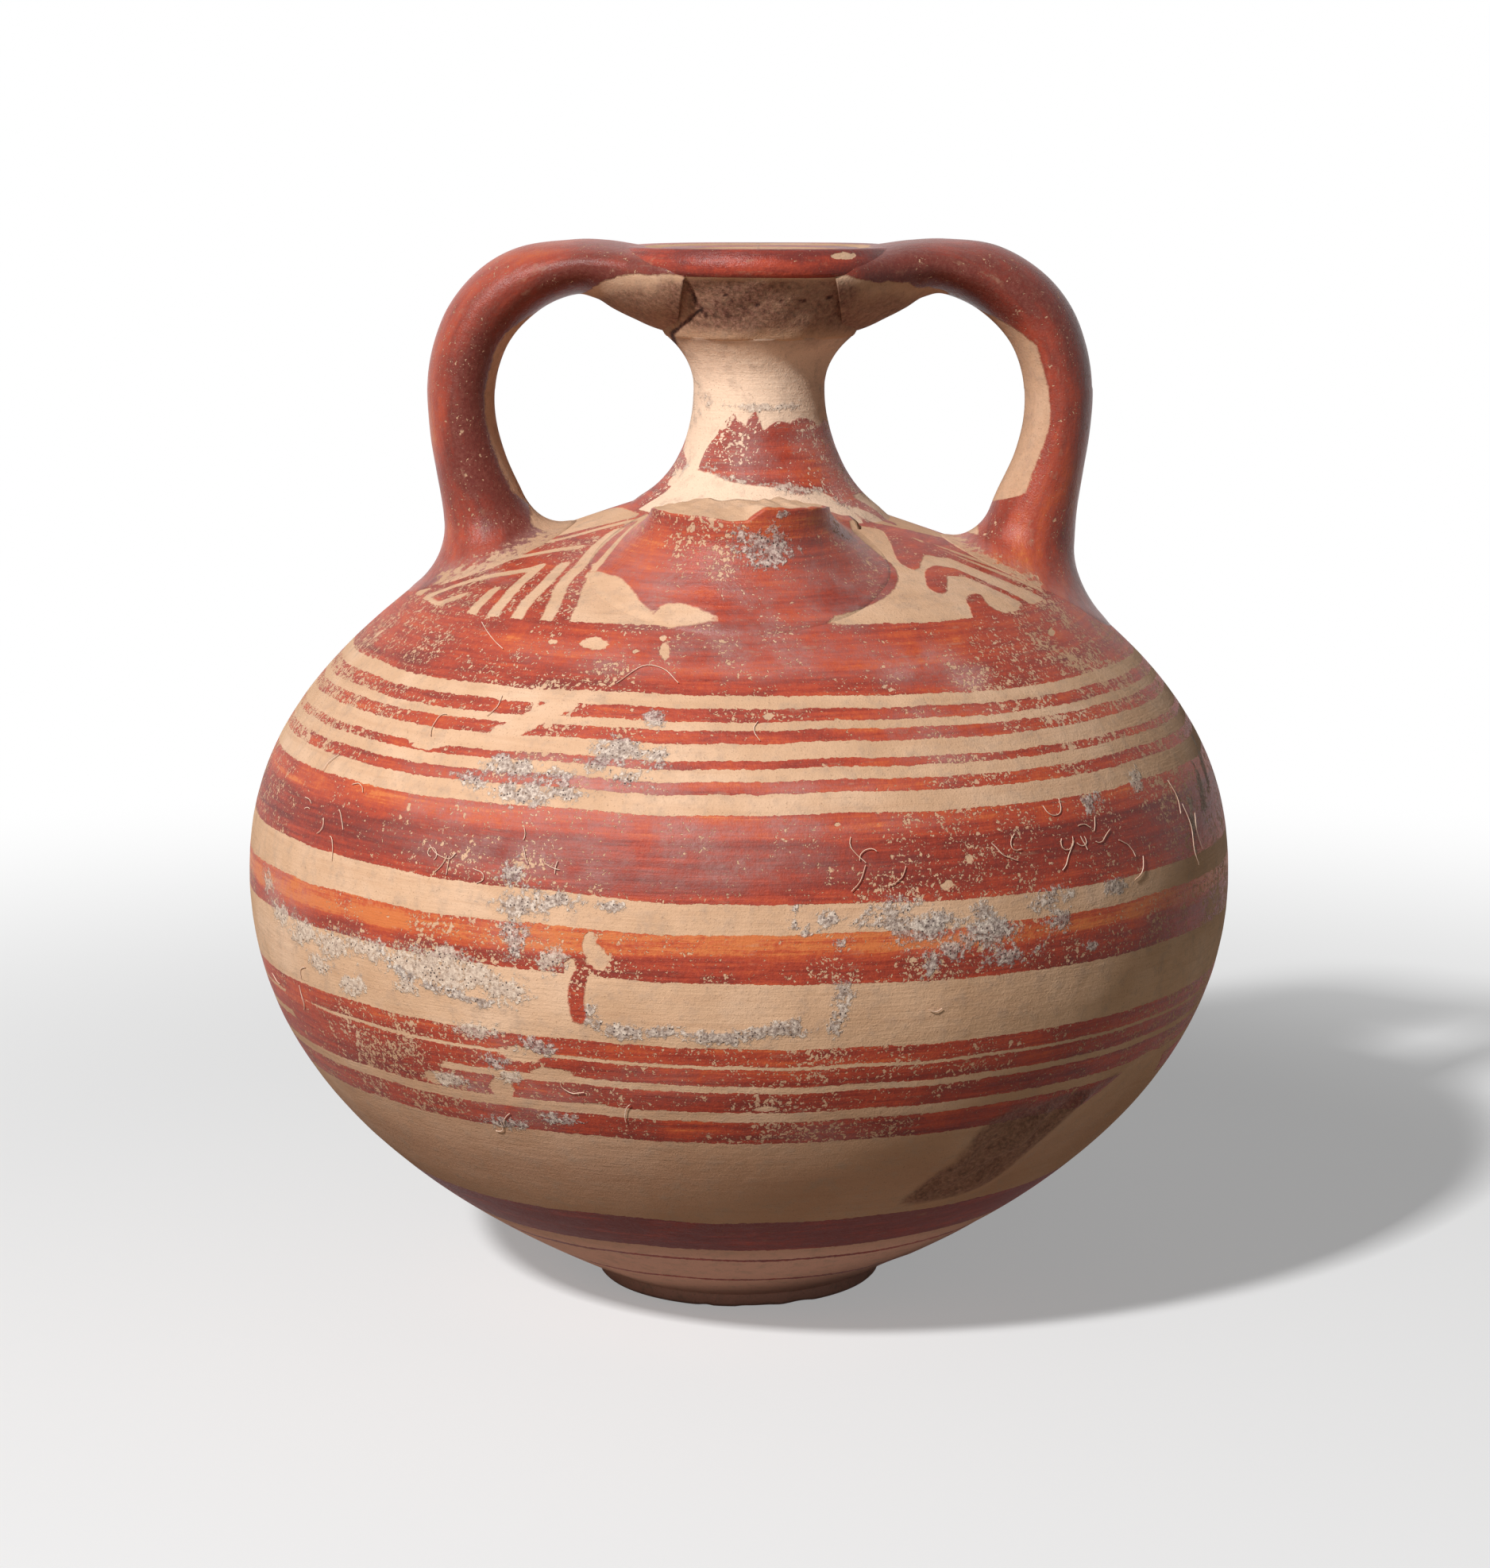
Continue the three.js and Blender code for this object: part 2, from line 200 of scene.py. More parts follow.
def body_side():
    """The body's outline from foot to crown, as radius and height."""
    rise = BELLY_Z - FOOT_TOP
    spread = BELLY_RADIUS - LOWER_RADIUS
    climb = SHOULDER_Z - BELLY_Z
    close = BELLY_RADIUS - SHOULDER_RADIUS
    top = CROWN_Z - SHOULDER_Z
    lower = bezier(
        (LOWER_RADIUS, FOOT_TOP), (LOWER_RADIUS + 0.45 * spread, FOOT_TOP + 0.19 * rise),
        (BELLY_RADIUS, BELLY_Z - 0.5 * rise), (BELLY_RADIUS, BELLY_Z), 120)
    upper = bezier(
        (BELLY_RADIUS, BELLY_Z), (BELLY_RADIUS, BELLY_Z + 0.45 * climb),
        (SHOULDER_RADIUS + 0.61 * close, SHOULDER_Z - 0.28 * climb), (SHOULDER_RADIUS, SHOULDER_Z), 90)
    shoulder = bezier(
        (SHOULDER_RADIUS, SHOULDER_Z), (0.87 * SHOULDER_RADIUS, SHOULDER_Z + 0.23 * top),
        (0.46 * SHOULDER_RADIUS, SHOULDER_Z + 0.59 * top), (0, CROWN_Z), 90)
    return np.vstack([lower, upper[1:], shoulder[1:]])


SIDE = body_side()
SIDE_LENGTH = np.concatenate([[0], np.cumsum(np.hypot(*np.diff(SIDE, axis=0).T))])
UPPER_SIDE_Z = 60  # the outline above this height is what other pieces stand on
SHOULDER = SIDE[SIDE[:, 1] >= UPPER_SIDE_Z][::-1]


def body_radius(z):
    """The body's radius at a height."""
    return np.interp(z, SIDE[:, 1], SIDE[:, 0])


def body_length(z):
    """How far along the body's outline a height lies."""
    return np.interp(z, SIDE[:, 1], SIDE_LENGTH)


def shoulder_height(radius):
    """Height of the body's upper surface at a distance from its axis."""
    return np.interp(radius, SHOULDER[:, 0], SHOULDER[:, 1])


def neck_side():
    """The false neck's outline from the shoulder to the disc."""
    foot_radius = NECK_FOOT_RADIUS + 1.0
    foot_z = float(shoulder_height(foot_radius))
    down = NECK_WAIST_Z - foot_z
    foot = bezier(
        (foot_radius, foot_z), (NECK_WAIST + 0.36 * (NECK_FOOT_RADIUS - NECK_WAIST), foot_z + 0.17 * down),
        (NECK_WAIST, NECK_WAIST_Z - 0.45 * down), (NECK_WAIST, NECK_WAIST_Z), NECK_FOOT_STEPS)
    head = bezier(
        (NECK_WAIST, NECK_WAIST_Z), (NECK_WAIST, NECK_WAIST_Z + 2.5),
        (NECK_TOP_RADIUS - 1.8, NECK_TOP_Z - 1.5), (NECK_TOP_RADIUS, NECK_TOP_Z), 30)
    return np.vstack([foot, head[1:]])


NECK_SIDE = neck_side()


def ground_height(x, y):
    """Height of the shoulder with the neck's foot, which the handles and the spout stand on."""
    shoulder = shoulder_height(np.hypot(x, y))
    reach = np.hypot(x - NECK_X, y)
    foot = NECK_SIDE[:NECK_FOOT_STEPS][::-1]
    neck = np.interp(reach, foot[:, 0], foot[:, 1], right=-100)
    return np.maximum(shoulder, neck)


def drift(places, size, seed, waves=7):
    """Smooth, repeatable unevenness, mostly between -1 and 1, that changes over about the given size."""
    draw = np.random.default_rng(seed)
    total = np.zeros(len(places))
    for _ in range(waves):
        way = draw.normal(size=3)
        way *= 2 * math.pi / (np.linalg.norm(way) * size * draw.uniform(1.6, 4.2))
        total += np.sin(places @ way + draw.uniform(0, 2 * math.pi))
    return total / math.sqrt(waves)


def wheel_tree():
    """Geometry Nodes that turn an outline about an axis, as a potter's wheel does, with throwing ridges."""
    tree = geometry_tree("thrown on the wheel", (
        ("Outline", "Geometry"), ("Columns", "Int"), ("Rows", "Int"), ("Axis Place", "Vector"),
        ("Ridge Depth", "Float"), ("Ridges Per Metre", "Float"), ("Clay", "Material")), "Pot")
    given = add_node(tree, "NodeGroupInput").outputs
    curve = add_node(tree, "GeometryNodeMeshToCurve", {"Mesh": given["Outline"]})
    grid = add_node(tree, "GeometryNodeMeshGrid", {
        "Size X": 1.0, "Size Y": 1.0, "Vertices X": given["Columns"], "Vertices Y": given["Rows"]})
    place = add_node(tree, PARTED, {"Vector": add_node(tree, "GeometryNodeInputPosition")}).outputs
    turn = add_node(tree, MATH, {0: place["X"], 1: 2 * math.pi}, operation="MULTIPLY")
    share = add_node(tree, MATH, {0: place["Y"], 1: 0.5}, operation="ADD")
    sample = add_node(tree, "GeometryNodeSampleCurve", {"Curves": curve, "Factor": share},
                      use_all_curves=False, mode="FACTOR")
    point = add_node(tree, PARTED, {"Vector": sample.outputs["Position"]}).outputs
    sine = add_node(tree, MATH, {0: turn}, operation="SINE")
    cosine = add_node(tree, MATH, {0: turn}, operation="COSINE")
    ring = add_node(tree, JOINED, {"X": sine, "Y": cosine})
    level = add_node(tree, MATH, {0: point["Z"], 1: given["Ridges Per Metre"]}, operation="MULTIPLY")
    ridge = add_node(tree, NOISE, {"Vector": ring, "W": level, "Scale": 1.0, "Detail": 2.0},
                     noise_dimensions="4D")
    cut = add_node(tree, MATH, {0: ridge, 1: given["Ridge Depth"]}, operation="MULTIPLY")
    reach = add_node(tree, MATH, {0: point["X"], 1: cut}, operation="SUBTRACT")
    clear = add_node(tree, MATH, {0: reach, 1: 0.0}, operation="MAXIMUM")
    right = add_node(tree, MATH, {0: sine, 1: clear}, operation="MULTIPLY")
    back = add_node(tree, MATH, {0: cosine, 1: clear}, operation="MULTIPLY")
    front = add_node(tree, MATH, {0: back, 1: -1.0}, operation="MULTIPLY")
    turned = add_node(tree, JOINED, {"X": right, "Y": front, "Z": point["Z"]})
    centred = add_node(tree, VECTOR, {0: turned, 1: given["Axis Place"]}, operation="ADD")
    pot = add_node(tree, "GeometryNodeSetPosition", {"Geometry": grid, "Position": centred})
    closed = add_node(tree, "GeometryNodeMergeByDistance", {"Geometry": pot, "Distance": 2e-6})
    real = add_node(tree, "GeometryNodeRealizeInstances", {"Geometry": closed})
    clay = add_node(tree, "GeometryNodeSetMaterial", {"Geometry": real, "Material": given["Clay"]})
    add_node(tree, "NodeGroupOutput", {"Pot": clay})
    return tree


WHEEL = wheel_tree()


def settled(piece):
    """Leaves a piece with the plain mesh that its modifiers make."""
    bpy.context.view_layer.update()
    graph = bpy.context.evaluated_depsgraph_get()
    mesh = bpy.data.meshes.new_from_object(piece.evaluated_get(graph))
    piece.modifiers.clear()
    piece.data = mesh
    return piece


def new_piece(name, mesh):
    """An object at the origin that holds a mesh."""
    piece = bpy.data.objects.new(name, mesh)
    bpy.context.scene.collection.objects.link(piece)
    return piece


def shaped(piece, tree, settings):
    """Runs a tree of Geometry Nodes on a piece, with a value for each named input, and keeps the mesh."""
    modifier = piece.modifiers.new(tree.name, "NODES")
    modifier.node_group = tree
    sockets = {item.name: item.identifier for item in tree.interface.items_tree}
    for socket, value in settings.items():
        modifier[sockets[socket]] = value
    return settled(piece)


def thrown(name, outline, columns, rows, clay, axis=(0, 0), ridge_depth=0.0, ridge_pitch=3.0):
    """A pot form turned from an outline of radius and height."""
    mesh = bpy.data.meshes.new(name)
    points = [(radius * MM, 0, z * MM) for radius, z in outline]
    mesh.from_pydata(points, [(i, i + 1) for i in range(len(points) - 1)], [])
    piece = shaped(new_piece(name, mesh), WHEEL, {
        "Columns": columns + 1, "Rows": rows, "Axis Place": (axis[0] * MM, axis[1] * MM, 0.0),
        "Ridge Depth": ridge_depth * MM, "Ridges Per Metre": 1 / (ridge_pitch * MM), "Clay": clay})
    facing_out(piece.data)
    return piece


def facing_out(mesh):
    """Turns a closed mesh's faces outwards where they point in."""
    places = corners(mesh)
    mesh.calc_loop_triangles()
    triangles = np.array([t.vertices for t in mesh.loop_triangles])
    a, b, c = (places[triangles[:, i]] for i in range(3))
    if np.einsum("ij,ij->i", a, np.cross(b, c)).sum() < 0:
        mesh.flip_normals()


def corners(mesh):
    """The vertices of a mesh, in millimetres."""
    flat = np.empty(len(mesh.vertices) * 3)
    mesh.vertices.foreach_get("co", flat)
    return flat.reshape(-1, 3) / MM


def move_corners(mesh, places):
    """Puts the vertices of a mesh at these places, in millimetres."""
    mesh.vertices.foreach_set("co", (places * MM).ravel())
    mesh.update()


def lofted(name, rings, clay, looped=False):
    """A closed skin through rings of equally many points: looped to the first again, or with fans as ends."""
    count = len(rings[0])
    places = [tuple(p * MM) for ring in rings for p in ring]
    faces = []
    for i in range(len(rings) if looped else len(rings) - 1):
        after = (i + 1) % len(rings)
        for k in range(count):
            beside = (k + 1) % count
            faces.append((i * count + k, i * count + beside, after * count + beside, after * count + k))
    for ring in () if looped else (0, len(rings) - 1):
        middle = len(places)
        places.append(tuple(np.mean(rings[ring], axis=0) * MM))
        for k in range(count):
            edge = (ring * count + k, ring * count + (k + 1) % count)
            faces.append((*(edge if ring else edge[::-1]), middle))
    mesh = bpy.data.meshes.new(name)
    mesh.from_pydata(places, [], faces)
    mesh.materials.append(clay)
    piece = new_piece(name, mesh)
    facing_out(mesh)
    return piece


# Painting: each mark is a signed distance in millimetres, above 0 inside the mark

def line_distance(points, line, closed=False):
    """Distance from each point to a line of straight stretches."""
    ends = np.asarray(line, float)
    if closed:
        ends = np.vstack([ends, ends[:1]])
    best = np.full(len(points), np.inf)
    for start, stop in zip(ends[:-1], ends[1:]):
        along = stop - start
        share = np.clip((points - start) @ along / (along @ along + 1e-9), 0, 1)
        best = np.minimum(best, np.hypot(*(points - start - share[:, None] * along).T))
    return best


def inside(points, line):
    """Which points lie within a closed line."""
    x, y = points.T
    odd = np.zeros(len(points), bool)
    ends = np.asarray(line, float)
    for (ax, ay), (bx, by) in zip(ends, np.roll(ends, -1, axis=0)):
        level = (y - ay) / (by - ay if by != ay else 1e-9)
        odd ^= ((ay > y) != (by > y)) & (x < (bx - ax) * level + ax)
    return odd


def rounded(line, closed=False):
    """A line with its corners cut off twice, as a loaded brush rounds them."""
    points = np.asarray(line, float)
    for _ in range(2):
        after = np.roll(points, -1, axis=0) if closed else points[1:]
        before = points if closed else points[:-1]
        cut = np.stack([before * 0.75 + after * 0.25, before * 0.25 + after * 0.75], axis=1).reshape(-1, 2)
        points = cut if closed else np.vstack([points[:1], cut, points[-1:]])
    return points


def patch(points, line):
    """Signed distance to a closed outline."""
    edge = rounded(line, closed=True)
    distance = line_distance(points, edge, closed=True)
    return np.where(inside(points, edge), distance, -distance)


def stroke(points, line, width):
    """Signed distance to a brush stroke along a line."""
    return width / 2 - line_distance(points, rounded(line))


def plan(marks):
    """Places on the shoulder seen from above, from pairs of azimuth and reach."""
    turned = [(math.radians(azimuth), reach) for azimuth, reach in marks]
    return [(reach * math.sin(angle), -reach * math.cos(angle)) for angle, reach in turned]


def mirrored(marks):
    """The same marks on the other side of the jar."""
    return [(-azimuth, reach) for azimuth, reach in marks]


def swung(marks, degrees):
    """The same marks further round the jar."""
    return [(azimuth + degrees, reach) for azimuth, reach in marks]


# The hatched leaf on the front left of the shoulder: azimuth and reach of the clay that the brush left bare
LEAF_TRIANGLE = [
    (-28.7, 35.0), (-28.7, 34.7), (-29.8, 32.6), (-31, 30.4), (-33, 27.8), (-34.6, 25.4), (-33.8, 24.5),
    (-33.2, 24.6), (-29.5, 25.6), (-25.5, 26.6), (-23, 27.9), (-20.6, 29.3), (-17.9, 31.0), (-16.2, 31.6),
    (-15.2, 32.3), (-15.0, 32.2), (-14.8, 31.6), (-14.4, 31.3), (-13.4, 31.1), (-10.2, 31.3), (-7.4, 31.9),
    (-3.4, 32.7), (-3.2, 32.9), (-9, 33.6), (-15, 34.4), (-21.5, 35.0),
]
LEAF_TAIL = [(-34.5, 25.4), (-35.5, 22.5), (-37, 19.5), (-42, 14.9), (-47.5, 12.5)]
LEAF_BARS = (
    ([(-33.6, 34.7), (-34, 33.1), (-36.5, 29.7), (-39, 27.2), (-40, 23.8), (-43.5, 20.9), (-47, 18),
      (-48.5, 16)], 1.5),
    ([(-39.6, 34.5), (-40.5, 33.4), (-42, 31), (-42.5, 28.8), (-44, 26.1), (-46, 23.9)], 1.5),
    ([(-45.2, 34.4), (-46.5, 33.2), (-47.5, 31.5), (-49.5, 29), (-51, 26.8), (-52.5, 25)], 1.5),
    ([(-51, 34.2), (-52, 33.4), (-53, 31.6), (-54, 30.2)], 1.4),
)
LEAF_RIBS = (
    ([(-52, 25.2), (-57, 26.9), (-62, 28.3), (-66, 30.1), (-68.5, 32.1), (-71, 33.6)], 1.1),
    ([(-71, 33.4), (-69.5, 33.9), (-64, 34.2), (-62, 33.2), (-60, 31.9)], 1.0),
    ([(-71.5, 28.4), (-69, 26.6), (-68, 24.7), (-62.5, 23), (-56.5, 21), (-51, 20.1)], 1.0),
    ([(-84.5, 23.9), (-69.5, 20.7), (-62.5, 17.8), (-58.5, 15.7), (-47, 12.9)], 0.9),
    ([(-76, 34.2), (-78, 32.6), (-79.5, 31.2)], 2.2),
)
# The bare field on the front right of the shoulder, and the two hooks painted on it
FIELD = [
    (13, 32.8), (20, 31.8), (28, 29.9), (34, 27.8), (38.6, 25.4), (40, 23), (38.5, 20.5), (38.5, 18.2),
    (42, 16.6), (47.5, 14.9), (58, 16.9), (66, 19.6), (70, 22.5), (74, 27), (72, 33.6), (60, 34),
    (56.5, 33.4), (54, 34.4), (49, 34.2), (48.5, 31.8), (46.5, 31.8), (45, 34.7), (41, 34.9), (31.5, 34.8),
    (25, 34.3), (19.5, 33.6),
]
HOOK_BLOTS = (
    [(60.7, 16.9), (66, 18.2), (65.3, 19.6), (64.1, 21.4), (63.2, 24.1), (59.9, 24.3), (55.7, 22.7),
     (51.3, 23.5),
     (44.7, 25.4), (42.7, 25.0), (42.4, 23.3), (45.2, 21.6), (51.3, 19.4), (56.2, 17.8)],
    [(46.7, 25.4), (52.6, 24.9), (55.9, 26.1), (55.5, 28.1), (50.0, 27.0), (48.5, 27.8), (43.0, 30.2),
     (41.1, 29.8),
     (40.6, 28.7), (43.4, 27.0)],
    [(46.0, 31.1), (49.6, 30.6), (51.2, 31.3), (48.8, 32.5), (46.7, 34.0), (47.1, 34.9), (52.1, 34.9),
     (53.4, 35.6),
     (49.7, 36), (40.3, 35.6), (43.7, 32.7)],
)
HOOK_TAILS = (
    ([(63.5, 21.6), (63.7, 23.6), (65.2, 27.5), (67.3, 31.2), (69.2, 34.4)], 1.9),
    ([(55.3, 26.4), (57.2, 29.4), (58.6, 32.2), (59.4, 34.9)], 1.2),
    ([(66.5, 21), (69.5, 26.5), (73, 32), (74.5, 34.6)], 0.8),
)
NECK_STREAKS = (
    ([(62, 12.6), (68, 13.6), (74, 14.6), (75, 16.2)], 1.5),
    ([(49.5, 14.4), (61.5, 15.6), (70, 17.5), (78.5, 19.9), (86, 22.5)], 0.6),
)
WORN_SHOULDERS = (
    [(-50, 12.4), (-62, 15.2), (-72, 19.6), (-84, 22.6), (-97, 23), (-104, 18), (-97, 13.6), (-70, 12.2)],
    [(47, 12.6), (56, 14), (66, 16.4), (79, 20.4), (92, 23.2), (102, 18), (97, 13.6), (70, 12.2)],
)


BACK_SWING = 200  # degrees from the front leaf to its like on the back


def leaf(points, place):
    """Bare clay of one hatched leaf. place moves or mirrors its marks round the shoulder."""
    bare = patch(points, plan(place(LEAF_TRIANGLE)))
    bare = np.maximum(bare, stroke(points, plan(place(LEAF_TAIL)), 1.0))
    for line, width in LEAF_BARS + LEAF_RIBS:
        bare = np.maximum(bare, stroke(points, plan(place(line)), width))
    return bare


def hooked_field(points):
    """Bare clay of the field, less the hooks painted on it."""
    bare = patch(points, plan(FIELD))
    for blot in HOOK_BLOTS:
        bare = np.minimum(bare, -patch(points, plan(blot)))
    for line, width in HOOK_TAILS:
        bare = np.minimum(bare, -stroke(points, plan(line), width))
    return bare


def shoulder_paint(places):
    """Signed distance to the slip on the shoulder."""
    shake = np.stack([drift(places, 7, 11), drift(places, 7, 12)], axis=1) * 0.22
    points = places[:, :2] + shake
    bare = np.max([
        leaf(points, lambda marks: marks), hooked_field(points),
        leaf(points, lambda marks: swung(marks, BACK_SWING)),
        leaf(points, lambda marks: swung(mirrored(marks), -BACK_SWING))], axis=0)
    worn = np.maximum(*(patch(points, plan(line)) for line in WORN_SHOULDERS))
    for line, width in NECK_STREAKS:
        worn = np.minimum(worn, -stroke(points, plan(line), width))
    return -np.maximum(bare, worn)


NECK_SLIP_EDGE = [
    (-180, 90.5), (-120, 89.6), (-80, 88.5), (-58, 86.0), (-46, 86.6), (-41, 89.4), (-33, 91.0),
    (-22, 92.2), (-13, 91.2), (-4, 92.3), (3, 91.3), (14, 91.9), (26, 91.0), (40, 91.6), (70, 91),
    (110, 90), (150, 91.3), (180, 90.5),
]


def neck_paint(places):
    """Signed distance to the slip on the false neck's lower half."""
    edge = by_table(NECK_SLIP_EDGE, azimuths(places, NECK_X))
    return edge + 0.4 * drift(places, 1.6, 21) + 0.25 * drift(places, 0.8, 22) - places[:, 2]


# The lower edge of the slip on the neck's front, where the foot has worn down to the clay: azimuth and height
NECK_WORN_EDGE = [
    (-180, 80), (-88, 80), (-66, 86.2), (-52, 86.4), (-30, 86.0), (-12, 85.5), (4, 84.9), (25, 84.2),
    (36, 84.4), (50, 83.0), (62, 80), (180, 80),
]
NECK_CLAY_HEIGHT = 88  # a height with no band, at which the clay's colour is the neck's paler one
# Marks on the joint of disc, neck and handles, as seen from the front: across and up, and for pits their size
RIM_SPOT = [(8.9, 108.5), (9.4, 107.9), (11.2, 107.8), (12.0, 108.3), (11.2, 108.8)]
CRACKS = (
    [(-5.4, 105.9), (-3.9, 103.1), (-3.1, 102.1)],
    [(-3.8, 102.9), (-6.8, 100.2), (-6.5, 98.9)],
)
CRACK_WIDTH = 0.42
DISC_PITS = (
    (1.8, 103.4, 0.5), (4.1, 103.8, 0.35), (6.4, 103.8, 0.4), (9.1, 104.1, 0.45), (-1.4, 104.4, 0.3),
    (-8.2, 102.6, 0.3),
)


def cracked(places):
    """1 in the cracks and pits of the joint under the disc, and 0 away from them."""
    x, y, z = places.T
    seen = np.zeros(len(places))
    for line in CRACKS:
        seen = np.maximum(seen, 1 - line_distance(places[:, [0, 2]], line) / CRACK_WIDTH)
    for across, up, size in DISC_PITS:
        seen = np.maximum(seen, 1.2 - np.hypot(x - across, (z - up) * 1.3) / size)
    return np.where(y < 0, np.clip(seen, 0, 1), 0)


# Bands on the body: name, top, bottom
BANDS = (
    ("shoulder band", 73.6, 68.0), ("first fine line", 66.8, 66.0), ("second fine line", 65.1, 64.2),
    ("third fine line", 62.9, 62.2), ("fourth fine line", 61.1, 60.0), ("belly band", 58.2, 50.4),
    ("orange band", 47.6, 43.2), ("first low line", 36.9, 35.1), ("second low line", 34.5, 32.7),
    ("third low line", 32.2, 30.2), ("fourth low line", 28.9, 26.4), ("foot band", 16.0, 11.4),
    ("upper turning line", 9.6, 9.38), ("middle turning line", 7.7, 7.55),
    ("lower turning line", 5.3, 5.12),
)
BAND_SPAN = 90.0  # the height that the bands' colour ramps cover
# How much the bands lean: height, and the fall in millimetres for each millimetre to the right
BAND_LEAN = ((11, 0.0), (30, 0.004), (43.6, 0.021), (47.9, 0.006), (51, 0.027), (58.3, 0.005), (66, 0.004),
             (68.6, 0.012), (74, 0.0))


def band_height(places):
    """Height with the bands' lean and the brush's wander taken out, so that each band's edge lies level."""
    x, _, z = places.T
    wander = 0.16 * drift(places * (1, 1, 0.25), 16, 31) + 0.07 * drift(places * (1, 1, 0.5), 4.5, 32)
    return z + by_table(BAND_LEAN, z) * x + wander


def unwrapped(places):
    """Distance round the body and along its outline, for marks that are given by azimuth and height."""
    x, y, z = places.T
    return np.stack([np.arctan2(x, -y) * np.hypot(x, y), body_length(z)], axis=1)


def laid(marks):
    """The same as unwrapped, for pairs of azimuth and height."""
    azimuth, z = np.asarray(marks, float).T
    return np.stack([np.radians(azimuth) * body_radius(z), body_length(z)], axis=1)


def spots(flat, marks):
    """Round marks from azimuth, height, half width and half height: 1 in the middle, 0 at the rim."""
    field = np.full(len(flat), -2.0)
    centres = laid([mark[:2] for mark in marks])
    for (u, v), (_, _, wide, tall) in zip(centres, marks):
        far = ((flat[:, 0] - u) / wide) ** 2 + ((flat[:, 1] - v) / tall) ** 2
        field = np.maximum(field, 1 - np.sqrt(far))
    return field


def traces(flat, lines):
    """Marks that follow a line, from their points and half width: 1 in the middle, 0 at the edge."""
    field = np.full(len(flat), -2.0)
    for line, half_width in lines:
        field = np.maximum(field, 1 - line_distance(flat, rounded(laid(line))) / half_width)
    return field


# Lime and soil that grew on the body in the ground: azimuth, height, half width and half height
GREY_CRUST = (
    (-10.5, 66.3, 1.6, 1.0), (-14, 63.8, 3.2, 1.3), (-16, 62.7, 2.6, 1.1), (-13, 61.4, 2.4, 1.3),
    (-28, 61.8, 3.4, 1.3), (-26, 59.6, 3.6, 1.3), (-20, 59.8, 2.6, 1.0), (-22, 61.3, 2.2, 0.9),
    (-32, 60.2, 2.2, 0.8), (-9.5, 63.4, 1.4, 1.4), (-23, 49.8, 3.2, 1.7), (-24, 47.3, 1.6, 2.6),
    (-19, 50.4, 2.4, 0.8), (-13.5, 50.2, 1.8, 0.6), (-24.5, 52.6, 1.4, 1.4), (20, 48, 4.0, 1.8),
    (15, 48.6, 3.2, 0.8), (17, 50, 2.4, 0.9), (24, 46.2, 2.6, 1.0), (20.5, 45.2, 1.2, 1.8),
    (22.5, 45, 1.8, 0.8), (27.5, 46.8, 3.4, 1.9), (26, 48.8, 1.6, 1.2), (29.5, 44.4, 2.6, 1.0),
    (35, 49.2, 2.2, 1.4), (36.5, 47.2, 2.0, 1.1), (45.5, 49.2, 2.2, 0.9), (9.5, 49.1, 1.2, 0.9),
    (10.5, 46.9, 0.7, 0.6), (14.5, 50, 1.0, 0.6), (11, 42.0, 1.3, 1.2), (10.7, 40.2, 1.1, 1.6),
    (10.3, 38.6, 0.9, 0.8), (-28, 27.2, 3.4, 0.9), (-21, 28.4, 2.8, 0.8), (-21.5, 36.2, 2.4, 1.1),
    (-27.5, 33.9, 1.6, 1.0), (33.5, 44.8, 1.0, 0.7), (41, 44, 1.2, 0.6), (-3.5, 37.9, 2.4, 0.8),
    (5.5, 38.6, 1.6, 1.0), (44, 57.2, 1.6, 1.2),
)
CRUST_TRACES = (
    ([(-15.5, 40.4), (-15, 39.2), (-13.5, 38.3), (-10.5, 38.0)], 0.85),
    ([(-8.5, 38.4), (-6.5, 38.7), (-4.5, 38.0), (-1.5, 37.9), (0.5, 38.0), (2, 38.5), (6, 39.4)], 0.75),
    ([(-41.5, 43.5), (-39.5, 42.0), (-36, 41.0), (-32, 40.6), (-27, 39.9)], 0.55),
    ([(6.2, 50.3), (5.2, 49.5), (5.8, 48.4), (7.2, 47.8)], 0.5),
)
WHITE_CRUST = (
    (-62, 43.9, 2.6, 1.3), (-56, 43.2, 3.4, 1.5), (-49.5, 42.8, 3.4, 1.6), (-43, 43.3, 3.2, 1.3),
    (-38, 42.6, 3.2, 1.5), (-34, 42.2, 3.4, 1.6), (-29, 42.4, 3.4, 1.6), (-25, 41.6, 2.6, 1.4),
    (-32, 44.2, 3.4, 1.0), (-37.5, 40.4, 1.8, 0.8), (-47, 39.2, 2.2, 1.2), (-53, 40.2, 2.0, 1.0),
    (-29, 37, 3.0, 0.9), (27.5, 47.3, 2.2, 1.2), (20.5, 48.2, 1.8, 1.0), (-34, 31.4, 2.4, 1.0),
    (-26, 32.6, 1.8, 0.8), (-19.5, 44.8, 1.4, 1.6), (-66.5, 46.5, 2.0, 1.4), (64, 53, 0.9, 3.4),
    (70, 55, 1.2, 3.2), (76, 57, 1.0, 3.0), (54, 58.2, 1.4, 1.4),
)
WHITE_HAZE = (
    (-40, 42.5, 14, 3.2), (-24, 47, 6, 3.2), (-16.5, 60.4, 9, 3.2), (27, 70.3, 6.5, 3.2),
    (33, 68.9, 4, 2.4), (-27, 28, 8, 2.4), (-26, 35.5, 6, 2.6), (22, 47.5, 8, 3), (-8, 33, 9, 3),
    (10, 27.5, 6, 2),
)
# Pale crusts round the handles' roots
ROOT_HAZE = ((80, 76.6, 7, 3.6), (62, 76.0, 4, 1.6), (-74, 77.0, 5, 2.4), (-58, 76.4, 4, 1.4))
